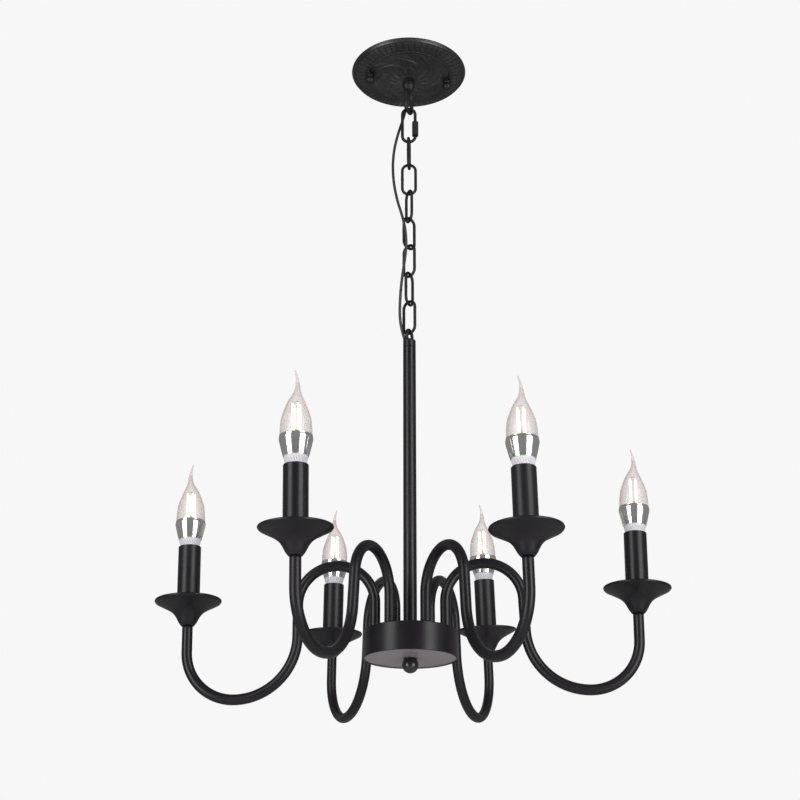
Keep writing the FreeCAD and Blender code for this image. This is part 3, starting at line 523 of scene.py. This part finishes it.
# canopy: a cast dish with fluted rim, an inner beaded line and low leaf relief
canopy = {"radius": 75.5, "top": 66.0, "depth": 22.5, "wall": 1.6, "lip": 0.8, "hole": 5.1, "flat": 12.0,
          "dome": [(30.0, -19.4), (50.0, -15.2), (62.0, -12.8), (69.5, -11.0)],
          "rim": [(73.4, -9.4), (75.3, -6.7), (74.2, -4.2), (71.0, -1.9)],
          "ribs": 52, "ribDepth": 1.7, "ribBand": (57.5, 70.6), "leaves": 8, "leafBand": (29.0, 52.5),
          "petals": 16, "petalBand": (16.0, 27.0), "leafDepth": 1.4, "sink": 1.7, "sinkBand": (16.0, 75.0),
          "beads": [(1.3, 55.3, 0.9), (1.5, 73.0, 0.8)], "rings": [(0.5, 28.2, 0.6), (0.4, 14.5, 0.7)],
          # paintedLightAt: the relief height in mm at which the painted highlight on raised points is full
          "paintedLightAt": 3.2, "rows": 104, "columns": 832}


def makeCanopy():
    # outer face: a smooth section through a few points, turned; its relief stands out square to the slope
    c = canopy
    middle = [(c["hole"], -c["depth"]), (c["flat"], -c["depth"])]
    section = middle + c["dome"] + c["rim"] + [(c["top"] + 0.4, 0.0)]
    outer = curveThrough(section, c["rows"])
    r, z = outer[:, :1], outer[:, 1:]
    angle = np.linspace(0, 2 * math.pi, c["columns"], endpoint=False)[None, :]
    window = lambda low, high, soft: 1 / (1 + np.exp(-(r - low) / soft)) / (1 + np.exp((r - high) / soft))
    raised = lambda lines: sum(high * np.exp(-((r - at) / wide) ** 2) for high, at, wide in lines)
    ribs = c["ribDepth"] * np.abs(np.sin(angle * c["ribs"] / 2)) ** 0.6 * window(*c["ribBand"], 0.6)
    swirl = angle * c["leaves"] + 2.2 * np.sin(r / 6.5)
    leaf = np.clip(np.cos(swirl) + 0.35 * np.cos(2 * swirl + r / 3.0), 0, None) ** 0.6
    vein = 0.30 * np.cos(3 * swirl + r / 1.7) * np.clip(np.cos(swirl), 0, 1)
    petal = np.clip(np.cos(angle * c["petals"] + math.pi) + 0.2, 0, None) ** 0.5
    petal = petal * window(*c["petalBand"], 0.9)
    relief = c["leafDepth"] * ((leaf + vein) * window(*c["leafBand"], 1.2) + 0.8 * petal)
    widest = int(np.argmax(outer[:, 0]))
    front = (np.arange(c["rows"]) < widest)[:, None]
    ground = c["sink"] * window(*c["sinkBand"], 1.5)
    rise = (ribs + raised(c["beads"]) + relief + raised(c["rings"]) - ground) * front
    slope = np.gradient(outer, axis=0)
    slope /= np.linalg.norm(slope, axis=1, keepdims=True)
    radius = np.minimum(r + rise * slope[:, 1:], c["radius"])
    height = np.maximum(z - rise * slope[:, :1], -c["depth"])
    wall = c["wall"]
    edge = [(c["top"], 0.0), (c["top"] - wall, 0.0), (c["top"] - wall, -c["lip"])]
    inner = np.vstack([edge, outer[widest::-6] + np.array([-wall * 0.7, wall * 1.25])])
    inner[-1] = (c["hole"], -c["depth"] + wall)
    face = np.stack([radius * np.cos(angle), radius * np.sin(angle), height], axis=-1)
    back = lathe(inner, c["columns"])
    grid = np.concatenate([face, back, face[:1]]) * mm
    dish = piece("canopyDish", [grid], "cast", "canopy", ["canopy"])
    # painted relief light: how far each point of the face stands out, kept on the mesh so its finish paints a
    # highlight on the raised points and shade in the hollows
    points = np.zeros(len(dish.data.vertices) * 3)
    dish.data.vertices.foreach_get("co", points)
    points = points.reshape(-1, 3) / mm
    row = np.argmin(np.abs(np.hypot(points[:, 0], points[:, 1])[:, None] - outer[None, :widest, 0]), axis=1)
    bearing = np.arctan2(points[:, 1], points[:, 0]) / (2 * math.pi)
    column = np.round(bearing * c["columns"]).astype(int) % c["columns"]
    share = np.clip((rise[row, column] + c["sink"]) / c["paintedLightAt"], 0, 1)
    paintedReliefLight = dish.data.attributes.new("paintedReliefLight", "FLOAT", "POINT")
    paintedReliefLight.data.foreach_set("value", share.astype(np.float32))


makeCanopy()

capNut = {"ball": 11.5, "collar": 9.2, "neck": 0.7, "washer": 11.9, "washerThick": 0.9, "stud": 4.0}


def makeCapNuts():
    # a washer, a collar and a ball, one outline turned about each stud
    low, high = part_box("canopy_cap_nuts")
    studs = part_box("strap_studs")
    reach = np.array([studs[1][0], studs[1][1]]) / mm - capNut["stud"] / 2
    ball, collar = capNut["ball"] / 2, capNut["collar"] / 2
    seat, floor = high[2] / mm, low[2] / mm
    t = np.linspace(-math.pi / 2, 0.95, 16)
    arc = np.stack([ball * np.cos(t), floor + ball + ball * np.sin(t)], axis=-1)
    washer, under = capNut["washer"] / 2, seat - capNut["washerThick"]
    foot = rounded([(collar, arc[-1][1] + capNut["neck"]), (collar, under), (washer, under),
                    (washer, seat), (0.0, seat)], [0, 0.3, 0.3, 0.2, 0], closed=False)
    shape = lathe(np.vstack([arc, foot]), 40)
    for k, sign in enumerate((1, -1)):
        at = np.array([sign * reach[0], sign * reach[1], 0.0])
        piece("capNut_%d" % (k + 1), [(shape + at) * mm], "chain", "canopy",
              ["canopy_cap_nuts"])


makeCapNuts()
print("canopy made")

# the chain: canopy loop, screw link, seven plain links, all round wire on one centre line each
loop = {"length": 38.0, "width": 25.0, "wire": 5.0, "yaw": 68.0, "collar": 16.0, "shank": 10.0}
screwLink = {"length": 54.4, "width": 20.7, "wire": 4.0, "yaw": 0.0, "across": 8.2, "nut": 21.0}
link = {"length": 47.0, "width": 20.7, "wire": 3.7, "yaws": [84.0, 0.0, -66.0, 39.0, -39.0, 61.0, -37.0]}
wireColumns = 20


def wireRing(size, top, yaw, bulge=0.0):
    # the ring's section swells by bulge at the middle of one limb, where its ends were welded
    path = ringPath(size["length"], size["width"], size["wire"], top)
    low, high = path[:, 2].min(), path[:, 2].max()
    away = np.hypot((path[:, 2] - (low + high) / 2) / 1.3, path[:, 0] + (size["width"] - size["wire"]) / 2)
    radius = size["wire"] / 2 * (1 + bulge * np.exp(-away ** 2))
    return turned(sweep(path, radius, np.array([0.0, 1.0, 0.0]), wireColumns, loop=True), yaw) * mm


def makeChain():
    for k, yaw in enumerate(link["yaws"]):
        name = "chain_link_%d" % (k + 1)
        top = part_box(name)[1][2] / mm - link["wire"] / 2
        grid = wireRing(link, top, yaw, 0.09)
        piece("chainLink_%d" % (k + 1), [grid], "chain", name, [name], loop=True)


def makeScrewLink():
    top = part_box("quick_link")[1][2] / mm - screwLink["wire"] / 2
    grid = wireRing(screwLink, top, screwLink["yaw"])
    piece("screwLink", [grid], "chain", "quick_link", ["quick_link"], loop=True)
    # the nut: a hexagon with eased edges, drawn in to a round at each end
    low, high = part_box("quick_link_nut")
    low, high = low[2] / mm, high[2] / mm
    half = screwLink["across"] / 2
    ends = rounded([(half * 0.62, low), (half * 0.98, low), (half * 1.155, low + 1.6),
                    (half * 1.155, high - 1.6), (half * 0.98, high), (half * 0.62, high)],
                   [0.1, 0.5, 0.6, 0.6, 0.5, 0.1], closed=False)
    angle = np.linspace(0, 2 * math.pi, 96, endpoint=False)
    flat = half / np.cos((angle + math.pi / 6) % (math.pi / 3) - math.pi / 6)
    flat = np.minimum(flat, half * 1.115)
    reach = np.minimum(ends[:, :1], flat[None])
    shape = np.stack([reach * np.cos(angle), reach * np.sin(angle), ends[:, 1:] + 0 * angle], axis=-1)
    bore = (0.45, 0.45, 1)
    shape = np.concatenate([shape[:1] * bore, shape, shape[-1:] * bore, shape[:1] * bore])
    shape[..., 0] += (screwLink["width"] - screwLink["wire"]) / 2
    piece("screwLinkNut", [shape * mm], "chain", "quick_link_nut", ["quick_link_nut"])


def makeCanopyLoop():
    face = -canopy["depth"]
    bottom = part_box("canopy_loop")[0][2] / mm
    top = bottom + loop["length"] - loop["wire"] / 2
    ring = wireRing(loop, top, loop["yaw"])
    bell = rounded([(0.0, face + 9.6), (loop["shank"] / 2, face + 9.6), (loop["shank"] / 2, face),
                    (loop["collar"] / 2, face), (loop["collar"] / 2, face - 6.0), (7.0, face - 9.0),
                    (6.2, face - 11.5), (3.2, face - 13.6), (0.0, face - 14.0)],
                   [0, 0.8, 0, 0.7, 1.4, 1.6, 2.0, 1.6, 0], closed=False)[::-1]
    piece("canopyLoopRing", [ring], "chain", "canopy", ["canopy_loop"], loop=True)
    piece("canopyLoopShank", [lathe(bell, 40) * mm], "chain", "canopy", ["canopy_loop"])


makeChain()
makeScrewLink()
makeCanopyLoop()
print("chain made")

# stem: cap with a small ring, a long tube, all on the hub's axis
stem = {"diameter": 15.5, "wall": 1.25, "capHeight": 11.0, "loopLength": 19.0, "loopWidth": 17.0,
        "wire": 4.0, "yaw": 60.0}


def makeStem():
    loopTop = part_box("stem_loop")[1][2] / mm
    top = loopTop - stem["loopLength"] + stem["wire"]
    radius = stem["diameter"] / 2
    ringSize = {"length": stem["loopLength"], "width": stem["loopWidth"], "wire": stem["wire"]}
    ring = wireRing(ringSize, loopTop - stem["wire"] / 2, stem["yaw"])
    ring = ring[ring[:, :, 2].mean(1) > -1.0]
    seam = top - stem["capHeight"]
    cap = rounded([(0.0, seam - 2.0), (radius - 1.4, seam - 2.0), (radius - 1.4, seam + 0.35),
                   (radius, seam + 0.35), (radius, top - 1.0), (radius - 2.2, top), (0.0, top)],
                  [0, 0.2, 0.1, 0.5, 1.4, 1.4, 0], closed=False)
    piece("stemRing", [ring], "chain", "fixture", ["stem_loop"], loop=True)
    piece("stemCap", [lathe(cap, 48) * mm], "satin", "fixture", ["stem_loop"])
    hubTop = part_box("hub_drum")[1][2] / mm
    tube = rounded([(0.0, hubTop), (radius, hubTop), (radius, seam), (radius - stem["wall"], seam),
                    (0.0, seam - 0.6)], [0, 0.5, 0.5, 0.2, 0], closed=False)
    piece("stemTube", [lathe(tube, 56) * mm], "satin", "fixture", ["stem"])


makeStem()

# hub: a spun drum with an eased top edge and a rolled lower rim, a plate set into it, a ball nut below
hub = {"diameter": 106.5, "wall": 1.2, "recess": 1.0, "plate": 3.0, "nipple": 10.0}
finial = {"ball": 18.6, "base": 16.5, "waist": 13.6, "height": 16.6}


def makeHub():
    low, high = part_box("hub_drum")
    low, high, radius, wall = low[2] / mm, high[2] / mm, hub["diameter"] / 2, hub["wall"]
    plate = low + hub["recess"]
    drum = rounded([(radius - wall - 0.3, low), (radius - 0.2, low), (radius, low + 1.6), (radius, high),
                    (hub["nipple"] / 2, high), (hub["nipple"] / 2, high - wall), (radius - wall, high - wall),
                    (radius - wall, low + 2.0)], [0.5, 0.7, 0.6, 1.0, 0.2, 0.1, 0.8, 0.4])
    grid = lathe(np.vstack([drum, drum[:1]]), 160) * mm
    piece("hubDrum", [grid], "satin", "fixture", ["hub_drum"])
    edge = radius - wall - 0.06
    back = plate + hub["plate"]
    disc = rounded([(hub["nipple"] / 2, plate), (40.0, plate - 0.25), (edge, plate), (edge, back),
                    (hub["nipple"] / 2, back)], [0.1, 8.0, 0.5, 0.2, 0.1])
    grid = lathe(np.vstack([disc, disc[:1]]), 128) * mm
    piece("hubUnderside", [grid], "plate", "fixture", ["hub_cover"])
    bottom = plate - finial["height"]
    ball, waist, base = finial["ball"] / 2, finial["waist"] / 2, finial["base"] / 2
    t = np.linspace(-math.pi / 2, math.asin((plate - 1.2 - bottom - ball) / ball), 26)
    arc = np.stack([ball * np.cos(t), bottom + ball + ball * np.sin(t)], axis=-1)
    seat = plate - 0.01
    foot = rounded([tuple(arc[-1]), (waist + 0.1, plate - 0.9), (base - 0.6, plate - 0.8),
                    (base, plate - 0.6), (base, seat), (0.0, seat)], [0, 0.3, 0.3, 0.2, 0.2, 0], closed=False)
    nut = lathe(np.vstack([arc, foot[1:]]), 56) * mm
    piece("ballNut", [nut], "gloss", "fixture", ["finial"])


makeHub()
print("stem and hub made")

# arms: straight foot, swan neck, straight descent, wide bowl, rise and straight tip, in one upright plane
arm = {"diameter": 12.0, "footCircle": 80.0, "footRise": 33.2, "neckRadius": 44.1, "neckWrap": 177.0,
       "descent": 36.3, "bowlRadius": 70.2, "riseRadius": 55.5, "tipRise": 30.3, "hubTurn": -4.6,
       "turns": [1.0, 13.5, -2.6, 1.6, 10.3, 1.9], "extraWraps": [0.8, -1.2, -1.2, 3.7, -2.5, -0.7],
       "leans": [-1.3, 5.2, 1.4, -1.6, -2.7, 1.3], "columns": 28, "fewestSteps": 8, "stepAngle": 2.5}


def armLine(wrap, lean):
    # the heading changes evenly along each bend, so the line is the running sum of short steps
    legs = [(arm["footRise"], 0), (math.radians(wrap) * arm["neckRadius"], -wrap), (arm["descent"], 0),
            (math.radians(wrap - 90) * arm["bowlRadius"], wrap - 90),
            (math.radians(90 + lean) * arm["riseRadius"], 90 + lean), (arm["tipRise"], 0)]
    headings, lengths, heading = [], [], 90.0
    for length, sweepAngle in legs:
        count = max(arm["fewestSteps"], int(abs(sweepAngle) / arm["stepAngle"]))
        middleShare = (np.arange(count) + 0.5) / count
        headings.append(np.radians(heading + sweepAngle * middleShare))
        chord = math.radians(abs(sweepAngle)) / count / 2
        lengths.append(np.full(count, length / count) * (math.sin(chord) / chord if chord else 1.0))
        heading += sweepAngle
    headings, lengths = np.concatenate(headings), np.concatenate(lengths)
    x = np.concatenate([[0], np.cumsum(lengths * np.cos(headings))])
    z = np.concatenate([[0], np.cumsum(lengths * np.sin(headings))])
    return x, z


def makeArms():
    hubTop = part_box("hub_drum")[1][2]
    spacing = 360 // len(arm["turns"])
    for k, (turn, extraWrap, lean) in enumerate(zip(arm["turns"], arm["extraWraps"], arm["leans"])):
        x, z = armLine(arm["neckWrap"] + extraWrap, lean)
        stub = math.radians(arm["hubTurn"] + spacing * k)
        out = stub + math.radians(turn)
        foot = np.array([math.cos(stub), math.sin(stub), 0]) * arm["footCircle"] / 2 * mm + [0, 0, hubTop]
        ahead = np.array([math.cos(out), math.sin(out), 0])
        across = np.array([-math.sin(out), math.cos(out), 0])
        path = foot + (x[:, None] * ahead + z[:, None] * np.array([0, 0, 1.0])) * mm
        grid = capped(sweep(path, arm["diameter"] / 2 * mm, -across, arm["columns"]))
        name = "arm_%d" % (k + 1)
        piece("swanArm_%d" % (k + 1), [grid], "satin", "fixture", [name])


makeArms()
print("arms made")

# cup, sleeve and lamp stand on each candle's axis, heights counted up from the arm's shoulder
cup = {"diameter": 76.4, "height": 30.0, "foot": 14.4, "wall": 1.2, "floor": 3.0, "screwHead": 5.0,
       "flare": [(0.0, 0.0), (0.08, 0.107), (0.175, 0.286), (0.30, 0.48), (0.53, 0.66), (0.80, 0.81),
                 (0.955, 0.895)]}
sleeve = {"diameter": 26.0, "wall": 1.1, "bottom": 12.5, "top": 93.5, "mouth": 22.4, "shoulder": 2.4}
lamp = {"sink": 0.5, "ringFoot": 20.8, "ring": 26.0, "ringHeight": 8.8, "collar": 35.0, "collarHeight": 22.6,
        "glass": 33.4, "glassHeight": 71.0, "wall": 0.8, "cap": 13.9, "capLength": 19.5, "pitch": 2.822,
        "vents": 26, "ventDepth": 0.9, "threadDepth": 0.75, "bends": [-1, -1, 1, 1, -1, -1],
        "flame": [(1.0, 0.0), (0.96, 0.18), (0.887, 0.288), (0.735, 0.395), (0.548, 0.505), (0.318, 0.613),
                  (0.222, 0.668), (0.135, 0.777), (0.078, 0.884), (0.040, 0.99)]}
stick = {"count": 4, "circle": 4.4, "radius": 0.95, "foot": 5.5, "tip": 34.0, "turn": 0.5, "wire": 0.22}


def candleFrame(k):
    # the lamp's own joint gives the candle's axis and the middle of the sleeve's mouth
    joint = joints["bulb_%d_screw" % (k + 1)]
    axis = np.array(joint["axis"])
    axis = axis / np.linalg.norm(axis)
    return np.array(joint["pos_m"]) - axis * sleeve["top"] * mm, axis


def cupShape():
    foot, rim, wall = cup["foot"] / 2, cup["diameter"] / 2, cup["wall"]
    outer = curveThrough([(foot + (rim - foot) * a, cup["height"] * b) for a, b in cup["flare"]], 44)
    lip = [(rim - 0.5, cup["height"] - 2.2), (rim, cup["height"] - 1.1), (rim - 0.35, cup["height"] - 0.25),
           (rim - 1.0, cup["height"]), (rim - 1.7, cup["height"] - 0.3), (rim - 2.3, cup["height"] - 1.1)]
    slope = np.gradient(outer, axis=0)
    slope /= np.linalg.norm(slope, axis=1, keepdims=True)
    inner = (outer + np.stack([-slope[:, 1], slope[:, 0]], axis=-1) * wall)[::-1]
    inner = inner[inner[:, 1] > cup["floor"] + 0.2]
    floor = [(cup["screwHead"], cup["floor"]), (0.0, cup["floor"])]
    return lathe(np.vstack([[(0.0, 0.0), (foot - 0.8, 0.0)], outer, lip, inner, floor]), 96)


def sleeveShape():
    radius, wall, top, roll = sleeve["diameter"] / 2, sleeve["wall"], sleeve["top"], sleeve["shoulder"]
    mouth = sleeve["mouth"] / 2
    corners = [(radius - wall, sleeve["bottom"]), (radius, sleeve["bottom"]), (radius, top - 0.1),
               (mouth, top), (mouth - 0.05, top - wall), (radius - wall, top - wall - 0.6)]
    shape = rounded(corners, [0.3, 0.3, roll, 0.5, 0.3, 0.8], steps=8)
    return lathe(np.vstack([shape, shape[:1]]), 64)


def ringShape(low):
    # the cone of the vent ring, pressed in where a slanted slot runs: a ridge function of angle plus height
    high, foot, wide = low + lamp["ringHeight"], lamp["ringFoot"] / 2, lamp["ring"] / 2
    profile = rounded([(foot - 1.4, low), (foot, low), (wide - 0.3, high - 0.6), (wide - 0.5, high),
                       (0.0, high)], [0.2, 0.5, 0.4, 0.3, 0], closed=False)
    middleRows = np.linspace(profile[7], profile[-13], 22)[1:-1]
    profile = np.vstack([[(0.0, low)], profile[:8], middleRows, profile[-13:]])
    angle = np.linspace(0, 2 * math.pi, 12 * lamp["vents"], endpoint=False)
    share = (profile[:, 1:] - low) / lamp["ringHeight"]
    inside = np.clip(1 - np.abs(share - 0.5) / 0.3, 0, 1) ** 0.4
    slots = np.clip(np.cos(lamp["vents"] * (angle + 0.42 * share)) * 1.8 - 0.5, 0, 1)
    radius = profile[:, :1] - lamp["ventDepth"] * slots * inside * (profile[:, :1] > foot - 0.2)
    return np.stack([radius * np.cos(angle), radius * np.sin(angle), profile[:, 1:] + 0 * angle], axis=-1)


def bentFlame(grid, low, side):
    # the drawn tip leans one way and then curls back: a cubic sideways shift of height alone
    share = np.clip((grid[..., 2] - low) / lamp["glassHeight"], 0, 1)
    lean = np.interp(share, [0, 0.45, 0.6, 0.75, 0.88, 1.0], [0, 0, 0.9, 1.7, 0.9, -1.4])
    smooth = -side * lean * np.clip((share - 0.35) / 0.3, 0, 1) ** 2
    grid = grid.copy()
    grid[..., 0] += smooth
    return grid


def glassShape(low, side):
    foot, wall, high = lamp["glass"] / 2, lamp["wall"], lamp["glassHeight"]
    outer = curveThrough([(foot * a, low + high * b) for a, b in lamp["flame"]], 72)
    tip = [(foot * 0.028, low + high * 0.998), (0.0, low + high)]
    hollow = outer[outer[:, 0] > wall + 1.2] - np.array([wall, 0.0])
    shape = lathe(np.vstack([[(0.0, low + 0.05), (foot - 1.0, low + 0.05)], outer, tip]), 56)
    inner = lathe(np.vstack([[(0.0, low + 0.5)], hollow, [(0.0, hollow[-1][1] + 0.6)]]), 56)[:, ::-1]
    return [bentFlame(shape, low, side), bentFlame(inner, low, side)]


def collarShape(low):
    foot, wide, high = lamp["ring"] / 2, lamp["collar"] / 2, low + lamp["collarHeight"]
    glass = lamp["glass"] / 2
    side = curveThrough([(foot, low), (foot + 1.75, low + 6.2), (foot + 3.2, low + 12.5),
                         (wide - 0.12, low + 17.8), (wide, low + 19.3), (wide - 0.35, low + 21.0),
                         (glass + 0.25, high)], 48)
    mouth = [(glass - 0.3, high), (glass - 0.5, high - 0.8), (0.0, high - 0.8)]
    return lathe(np.vstack([[(0.0, low), (foot - 0.6, low)], side, mouth]), 72)


def capShape(high):
    # screw shell: the radius waves once for each turn of the thread, and fades at both ends
    low = high - lamp["capLength"]
    z = np.linspace(low + 2.2, high, 96)[:, None]
    angle = np.linspace(0, 2 * math.pi, 48, endpoint=False)[None]
    fade = np.clip((z - low - 2.2) / 2, 0, 1) * np.clip((high - z) / 2.5, 0, 1)
    wave = 0.5 + 0.5 * np.sin(2 * math.pi * z / lamp["pitch"] - angle)
    radius = lamp["cap"] / 2 - lamp["threadDepth"] * fade * (1 - wave) - 0.2 * (1 - fade)
    shell = np.stack([radius * np.cos(angle), radius * np.sin(angle), z + 0 * angle], axis=-1)
    ends = lathe([(0.0, low), (3.2, low), (6.2, low + 1.6)], 48)
    top = lathe([(0.0, high)], 48)
    return np.concatenate([ends, shell, top])


def stickShapes(low):
    # four light sticks round a glass mount, with a wire to the foot and head of each
    sticks, wires = [], []
    radius, circle, foot, tip = stick["radius"], stick["circle"], low + stick["foot"], low + stick["tip"]
    for k in range(stick["count"]):
        a = 2 * math.pi / stick["count"] * k + stick["turn"]
        at = np.array([circle * math.cos(a), circle * math.sin(a), 0.0])
        rod = rounded([(0.0, foot), (radius, foot), (radius, tip), (0.0, tip)],
                      [0, 0.7, 0.7, 0], closed=False)
        sticks.append(lathe(rod, 16) + at)
        bow = curveThrough([(1.2, 1.0), (3.4, 2.6), (circle, stick["foot"] + 0.3)], 10)
        head = curveThrough([(circle, stick["tip"] - 0.2), (3.2, 36.0), (0.0, 37.0)], 10)
        for line in (bow, head):
            path = np.stack([line[:, 0] * math.cos(a), line[:, 0] * math.sin(a), low + line[:, 1]], axis=-1)
            wires.append(capped(sweep(path, stick["wire"], np.array([-math.sin(a), math.cos(a), 0.0]), 8)))
    mount = rounded([(0.0, low + 0.2), (4.2, low + 0.2), (2.2, low + 4.0), (1.1, low + 8.0),
                     (0.55, low + 10.5), (0.28, low + 14.0), (0.28, low + 37.2), (0.0, low + 37.2)],
                    [0, 0.5, 1, 1, 1, 1, 0.1, 0], closed=False)
    return sticks, wires + [lathe(mount, 16)]


def makeCandles():
    base = sleeve["top"] - lamp["sink"]
    collarLow = base + lamp["ringHeight"]
    glassLow = collarLow + lamp["collarHeight"]
    sticks, wires = stickShapes(glassLow)
    shared = {"cup": cupShape(), "sleeve": sleeveShape(), "ring": ringShape(base),
              "collar": collarShape(collarLow), "cap": capShape(base)}
    for k, bend in enumerate(lamp["bends"]):
        foot, axis = candleFrame(k)
        number = k + 1
        put = lambda grids: [stand(grid * mm, foot, axis) for grid in grids]
        lampBody = "bulb_%d" % number
        glassNode, baseNode = "bulb_glass_%d" % number, "bulb_base_%d" % number
        piece("flaredCup_%d" % number, put([shared["cup"]]), "satin", "fixture",
              ["bobeche_%d" % number])
        piece("candleSleeve_%d" % number, put([shared["sleeve"]]), "sleeve", "fixture",
              ["candle_sleeves"])
        piece("ventRing_%d" % number, put([shared["ring"]]), "ring", lampBody, [baseNode])
        piece("lampCollar_%d" % number, put([shared["collar"]]), "collar", lampBody,
              [baseNode])
        piece("screwCap_%d" % number, put([shared["cap"]]), "cap", lampBody, [baseNode])
        piece("lightSticks_%d" % number, put(sticks), "glow", lampBody, [baseNode])
        piece("stickWires_%d" % number, put(wires), "cap", lampBody, [baseNode])
        piece("flameGlass_%d" % number, put(glassShape(glassLow, bend)), "glass", lampBody,
              [glassNode])


makeCandles()
print("candles and lamps made")

# the working pieces inside keep their CAD shape and take a finish of their own
kept = {"mounting_strap": "zinc", "strap_studs": "zinc", "canopy_loop_nut": "zinc", "hub_nipple": "zinc",
        "hub_nuts": "zinc", "arm_nuts": "zinc", "lead_bush": "bush", "terminal_block": "terminal",
        "hub_connectors": "terminal", "lampholders": "holder"}
kept.update({"bulb_contact_%d" % (k + 1): "brass" for k in range(6)})
for node, finish in kept.items():
    materials = frame["nodes"][node].data.materials
    materials.clear()
    materials.append(finishes[finish])

# studio: two tall soft boxes in front, left and right, a pale room and floor
studio = {"floor": -1.62, "floorHalf": 6.0, "room": 0.22, "backdrop": 0.93,
          "boxes": [(-46, 2.2, -0.35, 1.1, 2.4, 41.0), (44, 2.2, -0.35, 1.3, 2.4, 50.0)]}


def makeStudio():
    # each box stands at an azimuth from the camera's side and faces the light's middle
    for number, (azimuth, away, height, width, tall, watts) in enumerate(studio["boxes"]):
        a = math.radians(azimuth)
        area = bpy.data.lights.new("softBox_%d" % (number + 1), "AREA")
        area.shape = "RECTANGLE"
        area.size, area.size_y, area.energy = width, tall, watts
        boxObject = bpy.data.objects.new(area.name, area)
        boxObject.location = (away * math.sin(a), -away * math.cos(a), height)
        boxObject.rotation_euler = (math.radians(90), 0, a)
        bpy.context.scene.collection.objects.link(boxObject)
    floor = bpy.data.meshes.new("floor")
    z, r = studio["floor"], studio["floorHalf"]
    floor.from_pydata([(-r, -r, z), (r, -r, z), (r, r, z), (-r, r, z)], [], [(0, 1, 2, 3)])
    floorFinish = Finish("floorPaper")
    shade = floorFinish.mixed(floorFinish.noise(3.0), (0.80, 0.80, 0.80), (0.84, 0.84, 0.84))
    floor.materials.append(floorFinish.done(floorFinish.coated(Base_Color=shade, Roughness=0.8)))
    floorObject = bpy.data.objects.new("floor", floor)
    bpy.context.scene.collection.objects.link(floorObject)
    world = bpy.data.worlds.new("room")
    bpy.context.scene.world = world
    world.use_nodes = True
    tree = world.node_tree
    background = tree.nodes["Background"]
    path = tree.nodes.new("ShaderNodeLightPath")
    level = tree.nodes.new("ShaderNodeMapRange")
    tree.links.new(path.outputs["Is Camera Ray"], level.inputs["Value"])
    level.inputs["To Min"].default_value = studio["room"]
    level.inputs["To Max"].default_value = studio["backdrop"]
    tree.links.new(level.outputs["Result"], background.inputs["Strength"])
    background.inputs["Color"].default_value = (1.0, 1.0, 1.0, 1.0)


makeStudio()
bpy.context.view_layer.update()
print("studio made")
